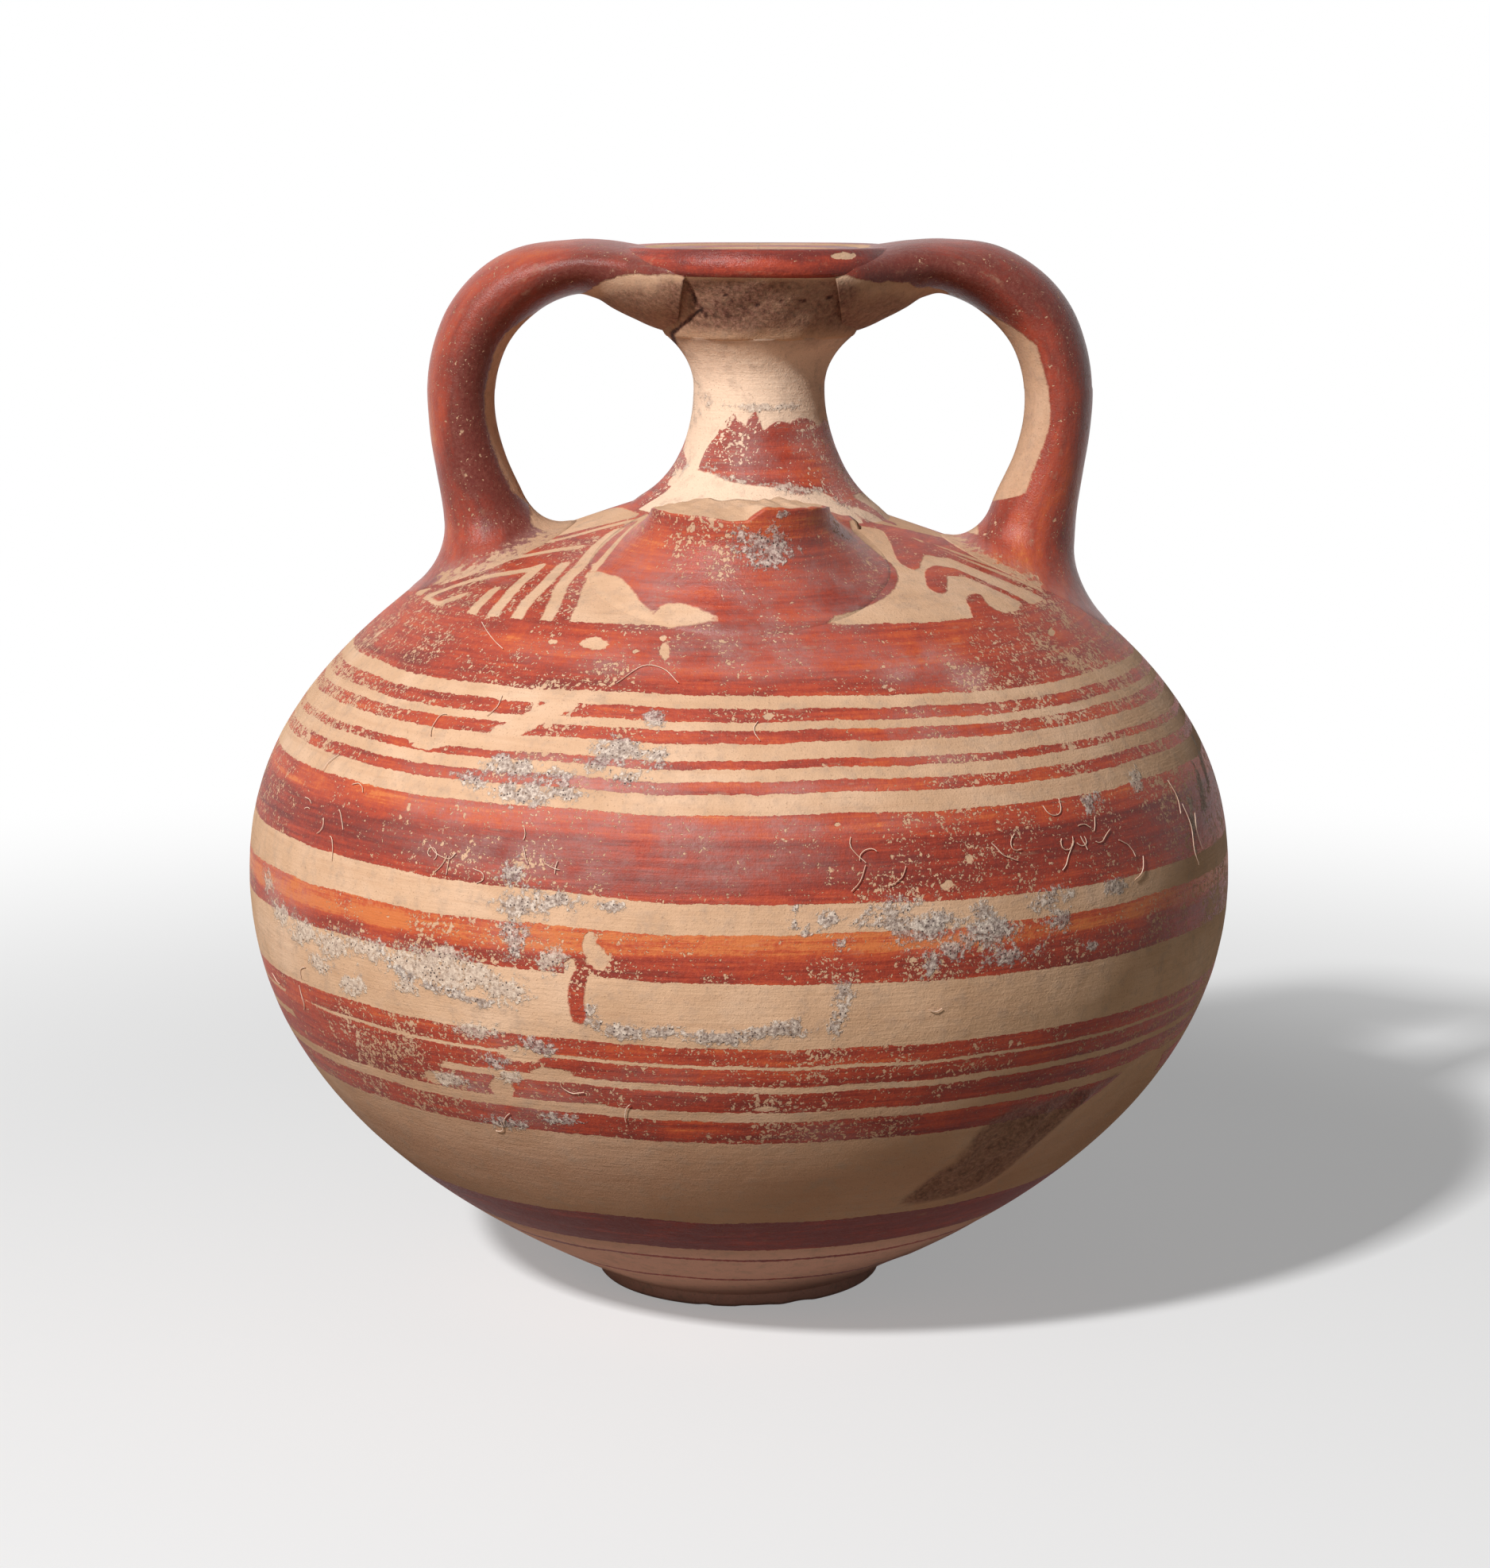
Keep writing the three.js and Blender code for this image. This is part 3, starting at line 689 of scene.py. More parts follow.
# Where the slip has flaked off the body
FLAKES = (
    (-22.5, 72.3, 1.8, 0.9), (-11, 71.9, 0.6, 1.5), (-11.6, 72.9, 0.6, 0.5), (-29.5, 72.2, 0.6, 0.5),
    (-15.4, 71.8, 0.5, 0.4), (-25.5, 69.1, 0.5, 0.4), (0, 70, 0.45, 0.4), (57.5, 71.6, 0.9, 0.6),
    (4, 66.7, 0.7, 0.5), (-15.4, 46.6, 0.9, 1.3), (-14.4, 45.2, 1.3, 1.2), (-17.6, 44.2, 0.8, 1.1),
    (22.5, 51.6, 0.8, 0.6), (25.5, 53.7, 0.7, 0.5), (17, 54.5, 0.6, 0.5), (11, 57.5, 0.5, 0.4),
    (10, 53.6, 0.5, 0.5), (-40, 57.2, 0.6, 0.5), (-34.5, 55.6, 0.5, 0.5), (29.5, 54.9, 0.5, 0.4),
    (-24, 35.2, 2.6, 1.0), (-20.5, 33.4, 2.6, 0.8), (-36, 31.2, 2.2, 0.9), (-27.2, 31.2, 1.6, 1.6),
    (-16, 30.2, 1.8, 0.6), (3, 30.6, 1.2, 0.4),
)
FLAKE_TRACES = (
    ([(-22.5, 67.4), (-25.5, 66.4), (-28.5, 65), (-31, 64.2)], 1.1),
    ([(-27, 66.9), (-24.5, 65.6)], 0.7),
    ([(-38, 63.2), (-41, 62.5), (-44, 62.8)], 0.5),
)
# Two low lines that ran together at the left
MERGED_LINES = [
    (-66, 36), (-60, 35.8), (-46, 35), (-38, 34.2), (-33, 33.4), (-38, 31.6), (-50, 31.3), (-64, 31.5),
]
SLIP_REMNANTS = (
    ([(-16.5, 43.6), (-17.1, 41.6), (-16.7, 39.6)], 1.0),
)
# The bruise at the lower right: the outer clay has spalled to a crisp edge, and smooth clay shows beyond it
BRUISE = [
    (23.3, 17.3), (24.8, 19.4), (27.2, 21.9), (29.0, 22.5), (29.5, 25.4), (31.4, 27.6), (34.5, 28.4),
    (38, 28.0), (42, 28.6), (47, 28.4), (53, 29.6), (50, 28), (46.1, 26.3), (43.9, 24.3), (40.9, 21.5),
    (39.2, 18.9), (35.9, 17.4), (30, 17.1),
]
BRUISE_FIELD = [
    (23.4, 17.2), (30, 17.1), (35.9, 17.4), (39.2, 18.9), (40.9, 21.5), (43.9, 24.3), (46.1, 26.3),
    (50, 28), (56, 31), (66, 29), (66, 22), (56, 17.2), (44, 16.4), (32, 16.3),
]
# The pinkish film over the slip, partly real and partly painted sheen where the light falls at the front:
# azimuth, height, half width and half height
VEILS_AND_SHEEN = (
    (-14, 54.2, 30, 3.4), (-10, 57.3, 34, 1.7), (-10, 60.6, 34, 1.5), (-32, 57.4, 12, 2.4),
    (-2, 71.2, 26, 3.2), (-20, 61, 14, 4), (27, 70.3, 6.5, 3.2), (33, 68.9, 4, 2.4), (-16.5, 60.4, 9, 3.2),
    (-62, 46, 9, 4), (-26, 31, 10, 3), (26, 64.5, 10, 5),
)


class Finish:
    """What the ground and the brush did at each vertex of a piece; all the painted pieces share it."""

    # Each value where nothing was done; no band lies at the plain height
    PLAIN = {
        "height": 85.0, "slip": -5.0, "crust": -2.0, "lime": -1.0, "bare": -2.0, "tone": 0.5, "soil": 0.0,
        "veil": 0.15, "chips": 0.5,
    }

    def __init__(self, places):
        for name, value in self.PLAIN.items():
            setattr(self, name, np.full(len(places), value))
        self.brush = places * (1 / 14, 1 / 14, 1 / 0.7)

    def write(self, mesh):
        """Stores every value as a named attribute that the material reads."""
        for name in self.PLAIN:
            attribute = mesh.attributes.new(name, "FLOAT", "POINT")
            attribute.data.foreach_set("value", getattr(self, name).astype(np.float32))
        attribute = mesh.attributes.new("brush", "FLOAT_VECTOR", "POINT")
        attribute.data.foreach_set("vector", self.brush.astype(np.float32).ravel())


# Tone of the slip by height, from 0, thin and orange, to 1, thick and maroon
SLIP_TONES = (
    (2, 0.7), (10, 0.75), (11.3, 0.92), (16, 1.0), (26, 0.72), (29, 0.56), (31, 0.68), (33, 0.6), (35, 0.5),
    (37.5, 0.45), (43.6, 0.68), (45.3, 0.58), (46, 0.05), (48, 0.12), (51, 0.55), (53.5, 0.8), (55.8, 0.78),
    (56.6, 0.36), (58.3, 0.36), (60, 0.46), (68, 0.5), (69.2, 0.66), (70.3, 0.5), (72, 0.42), (74, 0.58),
    (80, 0.55), (84, 0.5), (87, 0.42), (95, 0.4),
)
# How much each height of the body is chipped
CHIP_LEVELS = (
    (0, 0.2), (18, 0.3), (26, 0.75), (37, 0.9), (40, 0.8), (44, 1.1), (48, 0.8), (52, 0.9), (60, 0.9),
    (68, 0.8), (72, 0.55), (85, 0.5),
)


# Zones at the left edge that are chipped or filmed over: azimuths, then heights, where each begins, is whole,
# stays whole and ends
LEFT_CHIPS = ((-125, -105, -68, -46), (58, 60, 67, 69))
LEFT_LIMB = ((-112, -98, -82, -70), (28, 34, 44, 50))
SHOULDER_PAINT_Z = 72.6  # the drawn marks reach down to here
BRUISE_FOOT_Z = 16.6  # the slip below the bruise is whole again
SKIN_DEPTH = 1.5  # what lies deeper than this in the wall is the hollow's side


def zone(places, spans):
    """1 inside a zone of azimuths and heights, falling to 0 at its edges."""
    around, up = spans
    level = (0, 1, 1, 0)
    return np.interp(azimuths(places), around, level) * np.interp(places[:, 2], up, level)


def body_slip(places, flat):
    """Signed distance to the slip that was drawn on the body besides the bands."""
    painted = places[:, 2] > SHOULDER_PAINT_Z
    slip = np.full(len(places), Finish.PLAIN["slip"])
    slip[painted] = np.minimum(shoulder_paint(places[painted]), 20)
    slip = np.maximum(slip, traces(flat, SLIP_REMNANTS) - 0.2)
    return np.maximum(slip, patch(flat, laid(MERGED_LINES)))


def body_finish(places):
    """The finish of the body: its outer side's, and plain clay within."""
    finish = Finish(places)
    x, y, z = places.T
    flat = unwrapped(places)
    finish.height = band_height(places)
    finish.slip = body_slip(places, flat)
    finish.crust = np.maximum(spots(flat, GREY_CRUST), traces(flat, CRUST_TRACES))
    finish.lime = spots(flat, WHITE_CRUST)
    haze = np.clip(spots(flat, WHITE_HAZE), 0, 1)
    # Film over the slip, partly painted sheen
    film = np.clip(2 * spots(flat, VEILS_AND_SHEEN), 0, 1)
    root_film = np.clip(1.6 * spots(flat, ROOT_HAZE), 0, 1)
    limb = zone(places, LEFT_LIMB)
    finish.veil = 0.04 + 0.5 * film + 0.4 * haze + root_film + 0.8 * limb
    finish.chips = by_table(CHIP_LEVELS, z) * (1 + 0.5 * drift(places, 22, 45))
    finish.chips += 0.7 * zone(places, LEFT_CHIPS) + 0.5 * limb
    finish.tone = by_table(SLIP_TONES, z)
    # The spout's tone runs onto the body round it, with its painted shade at the right
    spout_tone, spout_film = spout_slip(places)
    near = graded(np.hypot(x - SPOUT_X, y - SPOUT_Y), 19, 15) * (z > UPPER_Z)
    finish.tone += near * (spout_tone - finish.tone)
    finish.veil += near * (spout_film - finish.veil)
    finish.soil = np.clip(0.4 + patch(flat, laid(BRUISE)) / 0.5, 0, 1)
    flaked = np.maximum(spots(flat, FLAKES), traces(flat, FLAKE_TRACES))
    field = np.clip(patch(flat, laid(BRUISE_FIELD)), -2, 1.5)
    finish.bare = np.maximum(flaked, np.minimum(field, z - BRUISE_FOOT_Z))
    inner = np.hypot(x, y) < body_radius(z) - SKIN_DEPTH
    for name in ("height", "slip", "crust", "lime"):
        getattr(finish, name)[inner] = Finish.PLAIN[name]
    return finish


def body_relief(places):
    """How far the body's surface stands in or out at each vertex."""
    flat = unwrapped(places)
    lumps = np.clip(spots(flat, GREY_CRUST), 0, 0.6) * 0.1 + np.clip(spots(flat, WHITE_CRUST), 0, 0.6) * 0.06
    lumps += np.clip(traces(flat, CRUST_TRACES), 0, 0.6) * 0.12
    flakes = np.clip(spots(flat, FLAKES), 0, 0.5) * -0.12
    bruise = patch(flat, laid(BRUISE))
    rough = np.clip(bruise, 0, 1.2) * (0.12 + 0.3 * drift(places, 1.4, 41)) - 0.15 * np.clip(bruise, 0, 1)
    field = np.clip(patch(flat, laid(BRUISE_FIELD)), 0, 2.5) * -0.22
    turned = -0.05 * (1 + drift(places, 34, 42)) - 0.02 * (1 + drift(places, 5, 43))
    low = graded(places[:, 2], 14, 4)
    chips = -0.35 * low * np.clip(drift(places, 3.5, 44) - 0.7, 0, 1)
    return lumps + flakes + rough + field + turned + chips


def cavity_outline():
    """The outline of the hollow, a wall's thickness inside the body's."""
    side = SIDE[6:-4:8]
    ahead = np.roll(side, -1, axis=0) - np.roll(side, 1, axis=0)
    ahead[0], ahead[-1] = side[1] - side[0], side[-1] - side[-2]
    inward = np.stack([-ahead[:, 1], ahead[:, 0]], axis=1) / np.hypot(*ahead.T)[:, None]
    hollow = side + WALL * inward
    hollow = hollow[(hollow[:, 0] > 1) & (hollow[:, 1] > FOOT_TOP + 1.5 * WALL)]
    return np.vstack([[(0, hollow[0, 1])], hollow, [(0, CROWN_Z - WALL)]])


def body(clay):
    """The hollow body: turned, worn, and pierced where the spout's bore runs into it."""
    outline = np.vstack([[(0, FOOT_TOP)], SIDE])
    piece = thrown("body", outline, COLUMNS, ROWS, clay, ridge_depth=0.10, ridge_pitch=2.6)
    mesh = piece.data
    places = corners(mesh)
    normals = np.empty(len(places) * 3)
    mesh.vertices.foreach_get("normal", normals)
    outer = places[:, 2] > FOOT_TOP + 0.05
    places[outer] += normals.reshape(-1, 3)[outer] * body_relief(places[outer])[:, None]
    move_corners(mesh, places)
    bored = [(0, BELLY_Z), (SPOUT_BORE, BELLY_Z), (SPOUT_BORE, HANDLE_TOP_Z), (0, HANDLE_TOP_Z)]
    tools = (
        thrown("hollow", cavity_outline(), 72, 44, clay),
        thrown("bore", bored, 40, 60, clay, axis=(SPOUT_X, SPOUT_Y)),
    )
    for tool in tools:
        cut = piece.modifiers.new(tool.name, "BOOLEAN")
        cut.operation = "DIFFERENCE"
        cut.solver = "MANIFOLD"
        cut.object = tool
    settled(piece)
    for tool in tools:
        bpy.data.objects.remove(tool)
    body_finish(corners(piece.data)).write(piece.data)
    return piece


def foot_ring(clay):
    """The low foot that was left when the jar was cut from the wheel, with a nicked edge."""
    outer = LOWER_RADIUS + 0.02
    inner = outer - 4.3
    top = FOOT_TOP + JOIN
    outline = [
        (outer - 1.5, top), (outer, top), (outer - 0.1, FOOT_TOP * 0.6), (outer - 0.25, 0.3),
        (outer - 0.55, 0.04), (outer - 1.1, 0.0), (inner + 0.8, 0.0), (inner + 0.2, 0.25), (inner, 0.9),
        (inner - 0.2, top), (outer - 1.5, top),
    ]
    piece = thrown("foot_ring", outline, 240, 66, clay)
    places = corners(piece.data)
    x, y, z = places.T
    edge = graded(np.hypot(np.hypot(x, y) - outer, z), 1.5, 0)
    worn = 0.5 * drift(places, 7, 51) + 0.5 * drift(places, 1.9, 52)
    nick = np.clip(worn - 0.45, 0, 0.9) * edge
    places[:, :2] *= (1 - 0.03 * nick)[:, None]
    z += 0.4 * nick
    move_corners(piece.data, places)
    finish = Finish(places)
    finish.height = band_height(places)
    finish.soil = np.clip((0.5 - z) / 0.5, 0, 0.6)
    finish.write(piece.data)
    return piece


# The neck's own marks take over from the shoulder's between these heights. In front they reach right down:
# round this azimuth, and fading out between the two distances from it
NECK_MARKS_Z = (83.6, 85.2)
NECK_FRONT = (-6, 62, 52)
NECK_LIME_Z = 93.0  # a faint ring of lime
UNDER_DISC_SHADE_Z = (98.6, 101.0)  # where the painted shade under the disc begins and is whole


def neck_finish(places):
    """Slip on the neck's lower half, a line of lime where it ends, and painted shade under the disc."""
    z = places[:, 2]
    azimuth = azimuths(places, NECK_X)
    finish = Finish(places)
    worn = by_table(NECK_WORN_EDGE, azimuth) + 0.3 * drift(places * (1, 1, 3), 4, 64)
    front, *sides = NECK_FRONT
    own = np.maximum(graded(z, *NECK_MARKS_Z), graded(np.abs(azimuth - front), *sides))
    neck = np.minimum(neck_paint(places), z - worn)
    finish.slip = neck * own + np.minimum(shoulder_paint(places), 3) * (1 - own)
    finish.tone = by_table(SLIP_TONES, z) + 0.12 + 0.14 * drift(places, 5, 65)
    finish.veil = 0.4 + 0.3 * drift(places, 3, 66) + 0.4 * graded(azimuth, 30, 50)
    finish.chips[:] = 0.75
    line = 1 - np.abs(z - worn - 0.3) / 0.5
    ring = 1 - np.abs(z - NECK_LIME_Z - 0.4 * drift(places, 4, 63)) / 0.5
    finish.lime = np.maximum(line, ring) * graded(np.abs(azimuth), 70, 0) - 0.3
    # Painted shade on the top of the neck under the disc, laid on as soil
    under_disc_shade = graded(z + 0.5 * drift(places, 3, 67), *UNDER_DISC_SHADE_Z)
    finish.soil = np.maximum(1.15 * under_disc_shade, 2 * cracked(places))
    finish.height[:] = NECK_CLAY_HEIGHT
    return finish


def false_neck(clay):
    """The stopped neck that carries the disc. Its foot spreads level with the shoulder."""
    foot_z, top_z = NECK_SIDE[0, 1], NECK_TOP_Z + JOIN
    outline = np.vstack([[(0, foot_z)], NECK_SIDE, [(NECK_TOP_RADIUS - 0.2, top_z), (0, top_z)]])
    piece = thrown("false_neck", outline, 180, 120, clay, axis=(NECK_X, 0), ridge_depth=0.10, ridge_pitch=1.6)
    places = corners(piece.data)
    x, y, z = places.T
    reach = np.hypot(x - NECK_X, y)
    fall = shoulder_height(np.hypot(x, y)) - shoulder_height(reach)
    z += graded(z, NECK_WAIST_Z, foot_z) ** 3 * fall
    away = np.clip(reach, 1, None)
    calm = graded(z, NECK_TOP_Z, NECK_TOP_Z - 3)
    uneven = (0.10 * drift(places, 9, 61) + 0.05 * drift(places, 3, 62)) * calm
    x += (x - NECK_X) / away * uneven
    y += y / away * uneven
    z -= 0.45 * graded(reach, 12.4, 14.4) * (z < NECK_WAIST_Z)
    move_corners(piece.data, places)
    neck_finish(places).write(piece.data)
    return piece


# Two rings and a dot painted on the disc's top: middle and half width
DISC_RINGS = ((9.2, 0.9), (5.6, 0.8), (0, 1.9))
RIM_SLIP_REACH = 11.9  # where the rim's slip begins


def disc_outline():
    """The disc's outline: a flat cone below, a rounded rim and a slightly dished top."""
    cone = RIM_LOW_Z - NECK_TOP_Z
    dish_z = RIM_TOP_Z - DISC_DISH
    return np.vstack([
        [(0, NECK_TOP_Z - 2 * JOIN), (NECK_TOP_RADIUS - 1.5, NECK_TOP_Z - 2 * JOIN)],
        bezier((NECK_TOP_RADIUS - 0.06, NECK_TOP_Z - 0.15), (NECK_TOP_RADIUS + 0.9, NECK_TOP_Z + 0.22 * cone),
               (DISC_RADIUS - 2.8, NECK_TOP_Z + 0.66 * cone), (DISC_RADIUS - 0.45, RIM_LOW_Z), 30),
        bezier((DISC_RADIUS - 0.3, RIM_LOW_Z + 0.1), (DISC_RADIUS + 0.1, RIM_LOW_Z + 0.7),
               (DISC_RADIUS + 0.1, RIM_TOP_Z - 1.1), (DISC_RADIUS - 0.9, RIM_TOP_Z - 0.05), 20),
        bezier((DISC_RADIUS - 1.1, RIM_TOP_Z), (DISC_RADIUS - 3.5, RIM_TOP_Z), (DISC_RADIUS * 0.4, dish_z),
               (0, dish_z), 24),
    ])


def disc_finish(places, reach, under):
    """Slip on the disc's rim and top, and bare clay under it, in painted shade and cracked. under is 1 on the
    underside.
    """
    _, y, z = places.T
    finish = Finish(places)
    top = (z > RIM_TOP_Z - 0.9 * DISC_DISH - 0.5) & (reach < DISC_RADIUS - 1.2)
    rings = [half - np.abs(reach - middle) for middle, half in DISC_RINGS]
    rings = np.max([*rings, reach - RIM_SLIP_REACH], axis=0)
    below = 1.2 - 4 * under + 0.4 * drift(places, 5, 73)
    finish.slip = np.where(top, rings + 0.12 * drift(places, 3, 74), below)
    finish.tone = strap_tone(places)
    spot = np.where(y < 0, patch(places[:, [0, 2]], RIM_SPOT), -9)
    finish.bare = np.clip(spot / 0.7, -2, 1)
    # Painted shade on the disc's underside, darkest by the neck, laid on as soil
    disc_underside_shade = graded(z, NECK_TOP_Z - 0.5, NECK_TOP_Z + 1.3) * under
    finish.soil = np.maximum((0.95 + 0.15 * drift(places, 6, 77)) * disc_underside_shade, 2 * cracked(places) * under)
    finish.veil[:] = 0.03
    finish.chips[:] = 0.3
    finish.brush = np.stack([azimuths(places, NECK_X) / 40, reach / 0.8, z / 2], axis=1)
    return finish


def disc(clay):
    """The disc that closes the false neck."""
    piece = thrown("disc", disc_outline(), 220, 160, clay, (NECK_X, 0), ridge_depth=0.06, ridge_pitch=1.2)
    places = corners(piece.data)
    x, y, z = places.T
    reach = np.hypot(x - NECK_X, y)
    rim = np.clip(reach / DISC_RADIUS, 0, 1) ** 3 * graded(z, NECK_TOP_Z, NECK_TOP_Z + 2)
    z -= 0.12 * rim * (1 + drift(places * (1, 1, 0), 11, 71))
    inwards = 0.006 * (1 + drift(places, 8, 72)) * rim
    under = graded(z, RIM_LOW_Z, RIM_LOW_Z - 0.6) * (reach > 8)
    inwards += (0.012 * cracked(places) + 0.005 * (1 + drift(places, 1.6, 75))) * under
    places[:, :2] -= (places[:, :2] - (NECK_X, 0)) * inwards[:, None]
    move_corners(piece.data, places)
    disc_finish(places, reach, under).write(piece.data)
    return piece


# A handle's middle line from disc to shoulder: reach from the neck's axis, height, thickness and width
HANDLE_LINE = (
    (7.5, 103.7, 7.6, 24.5), (9.5, 104.25, 7.7, 22.8), (11.5, 105.0, 7.4, 19.8), (13.5, 105.75, 7.0, 16.9),
    (16, 106.6, 6.0, 14.4), (19, 106.95, 5.6, 12.7), (23.2, 106.05, 6.6, 11.6), (26.5, 104.0, 7.1, 11.0),
    (28.9, 101.2, 7.2, 10.5), (30.3, 97.9, 7.1, 10.1), (30.9, 94.4, 7.0, 9.8), (30.75, 90.5, 6.9, 9.6),
    (30.0, 86.5, 7.3, 9.6), (28.9, 82.5, 8.2, 9.8), (28.3, 79.5, 8.9, 10.2), (27.9, 77.2, 9.3, 10.4),
    (27.6, 74.5, 9.5, 10.6),
)
# The lower edge of the slip where a strap meets the disc, seen from the front: across and up
ROOT_SLIP_EDGE = (
    (-18, 103.0), (-16, 104.3), (-14.9, 105.0), (-13.4, 105.8), (-12.2, 106.2), (-7, 106.3), (8.6, 106.6),
    (10.4, 106.1), (14.5, 105.6), (19.5, 105.0), (22, 103.6), (24, 101.0),
)
# How far the strap's two edges rise to run into the disc's rim, by reach
EDGE_LIFT = ((9.5, 2.7), (11.5, 2.1), (13.5, 1.45), (16, 0.75), (19, 0.2), (21, 0))
HANDLE_SIDES = 56
SECTION_ROUNDNESS = 1.95  # exponent of the strap's section: 2 is an ellipse, more is squarer


def fillet(height, radius):
    """How far a hollow curve of this radius stands out at a height above its foot."""
    down = np.clip(radius - height, 0, radius)
    return radius - np.sqrt(radius ** 2 - down ** 2)


def strap_tone(places):
    """Tone of the slip on the straps and the disc's rim, which runs on from one to the other."""
    return 0.65 + 0.22 * drift(places, 16, 88) + 0.16 * drift(places, 5, 89)


def strap_rings(side):
    """The strap's rings of points, and each point's distance from the inner side and way along the strap.

    The rings go down to the shoulder. Two more values of both kinds stand for the middles of the ends."""
    line = through(HANDLE_LINE, 14)
    turns = 2 * math.pi * np.arange(HANDLE_SIDES) / HANDLE_SIDES
    power = 2 / SECTION_ROUNDNESS
    across = np.sign(np.cos(turns)) * np.abs(np.cos(turns)) ** power
    along_y = np.sign(np.sin(turns)) * np.abs(np.sin(turns)) ** power
    ahead = np.gradient(line[:, :2], axis=0)
    ahead /= np.hypot(*ahead.T)[:, None]
    length = np.concatenate([[0], np.cumsum(np.hypot(*np.diff(line[:, :2], axis=0).T))])
    rings, from_inner, ways = [], [], []
    for (reach, z, thickness, width), (way_x, way_z), gone in zip(line, ahead, length):
        lift = z - ground_height(NECK_X + side * reach, 0)
        upper = z > NECK_WAIST_Z
        spread = 0 if upper else float(fillet(max(lift, 0), HANDLE_FILLET))
        out = (thickness / 2 + spread * 0.85) * across
        depth = (width / 2 + spread) * along_y
        x = NECK_X + side * (reach - way_z * out)
        level = z + way_x * out
        if upper:
            level = level + by_table(EDGE_LIFT, reach) * along_y ** 2
        else:
            follow = float(graded(lift, 13, 4))
            follow = follow * follow * (3 - 2 * follow)
            level = level * (1 - follow) + (ground_height(x, depth) + max(lift, -JOIN)) * follow
        rings.append(np.stack([x, depth, level], axis=1))
        from_inner.append(out + thickness / 2)
        ways.append(np.full(HANDLE_SIDES, gone))
        if lift < -JOIN:
            break
    return rings, np.concatenate([*from_inner, [3, 3]]), np.concatenate([*ways, [0, gone]])


# The share of its full width that the bare strip on a strap's inner side has, by height
STRIP_WIDTHS = ((82.3, -0.3), (83.8, 1), (99, 1), (104, -0.3))
DISC_END, UNDER_DISC_SHADE_END = 16, 10  # how far along the strap the disc's joint reaches, and the painted shade under the disc on it


def strap_finish(places, side, strip, from_inner, gone):
    """Slip round the strap but for a strip inside, bare clay in painted shade under the disc, a film where it
    stands.
    """
    x, y, z = places.T
    finish = Finish(places)
    slip = from_inner - strip * by_table(STRIP_WIDTHS, z) + 0.15 * drift(places, 4, 87)
    near = graded(z - ground_height(x, y), 1.6, 0)
    slip = slip * (1 - near) + np.clip(shoulder_paint(places) + 1, -3, 3) * near
    below = by_table(ROOT_SLIP_EDGE, x) - z + 0.2 * drift(places, 1.5, 90)
    below = np.where(gone < DISC_END, below, -9)
    finish.slip = np.minimum(slip, -below)
    # A little real soil all over, and painted shade under the disc's edge and in the joint by the neck
    soil = 0.3 + 0.6 * graded(below, 0.9, 2.1) * (gone < UNDER_DISC_SHADE_END)
    joint_shade = graded(np.abs(x - NECK_X), 12.5, 9) * np.clip(below, 0, 1)
    finish.soil = np.max([soil, 1.1 * joint_shade, 2 * cracked(places)], axis=0)
    # Painted shade on the left strap's inner side and painted light on its outer side
    inner_side_shade, thin = graded(from_inner, 5.2, 2.4), graded(from_inner, 4.8, 6.3)
    finish.tone = strap_tone(places) + (0.5 * inner_side_shade - 0.2 * thin) * (side < 0)
    inner_foot = near * (x * side < 31) * (y < 3)
    finish.bare = 0.45 * inner_foot - 0.2
    finish.veil = 0.02 + inner_foot
    finish.chips[:] = 0.4
    finish.brush = np.stack([gone / 14, np.arctan2(y, from_inner) * 2.2, from_inner / 3], axis=1)
    return finish


def handle(name, side, strip, clay):
    """One strap handle. side is -1 on the left; strip is how much of the inner side the brush left bare."""
    rings, from_inner, gone = strap_rings(side)
    piece = lofted(name, rings, clay)
    places = corners(piece.data)
    x, y, z = places.T
    upper = z > NECK_WAIST_Z
    uneven = 0.13 * drift(places, 9, 81 + side) + 0.05 * drift(places, 3.5, 84 + side)
    y *= 1 + 0.02 * uneven
    x += side * np.where(upper, 0, 0.6) * np.minimum(uneven, 0.2)
    z[:] = np.minimum(z + np.where(upper, uneven - 0.12, 0), HANDLE_TOP_Z)
    move_corners(piece.data, places)
    strap_finish(places, side, strip, from_inner, gone).write(piece.data)
    return piece


# Height of the spout's break over the shoulder, by azimuth round the spout: at the outer wall and the bore
BREAK_OUTER = (
    (-180, 3.2), (-110, 3.9), (-78, 4.25), (-61, 4.3), (-50, 4.15), (-34, 4.05), (-22, 4.0), (-6, 3.6),
    (4, 3.45), (10.6, 4.2), (17, 4.85), (41, 4.85), (56, 4.6), (85, 4.2), (120, 3.8), (180, 3.2),
)
BREAK_BORE = ((-180, 3.9), (-120, 4.5), (-60, 5.2), (0, 5.4), (60, 5.3), (120, 4.6), (180, 3.9))
# Grey crust on the spout, seen from the front: across, up, half width and half height
SPOUT_CRUST = (
    (1.9, 81.4, 2.6, 1.9), (3.3, 80.6, 2.2, 2.0), (2.6, 79.4, 1.6, 1.0), (4.4, 84.1, 0.6, 0.4),
)


def spout_slip(places):
    """Tone and film of the slip on and round the spout: bright at the break, dull at the foot, painted shade
    at the right.
    """
    x, _, z = places.T
    fall = graded(z, 82, 77)
    # Painted shade: the slip darkens towards the right side, away from the light
    right = graded(x - SPOUT_X, 4, 13)
    tone = 0.26 + 0.36 * fall + 0.22 * right + 0.1 * drift(places, 4, 93)
    film = 0.1 + 0.45 * fall
    return tone, film


SPOUT_SIDES = 160
SPOUT_TURNS = 2 * math.pi * np.arange(SPOUT_SIDES) / SPOUT_SIDES
SPOUT_AZIMUTHS = np.degrees(np.arctan2(np.sin(SPOUT_TURNS), np.cos(SPOUT_TURNS)))
SPOUT_BASE = float(shoulder_height(-SPOUT_Y))
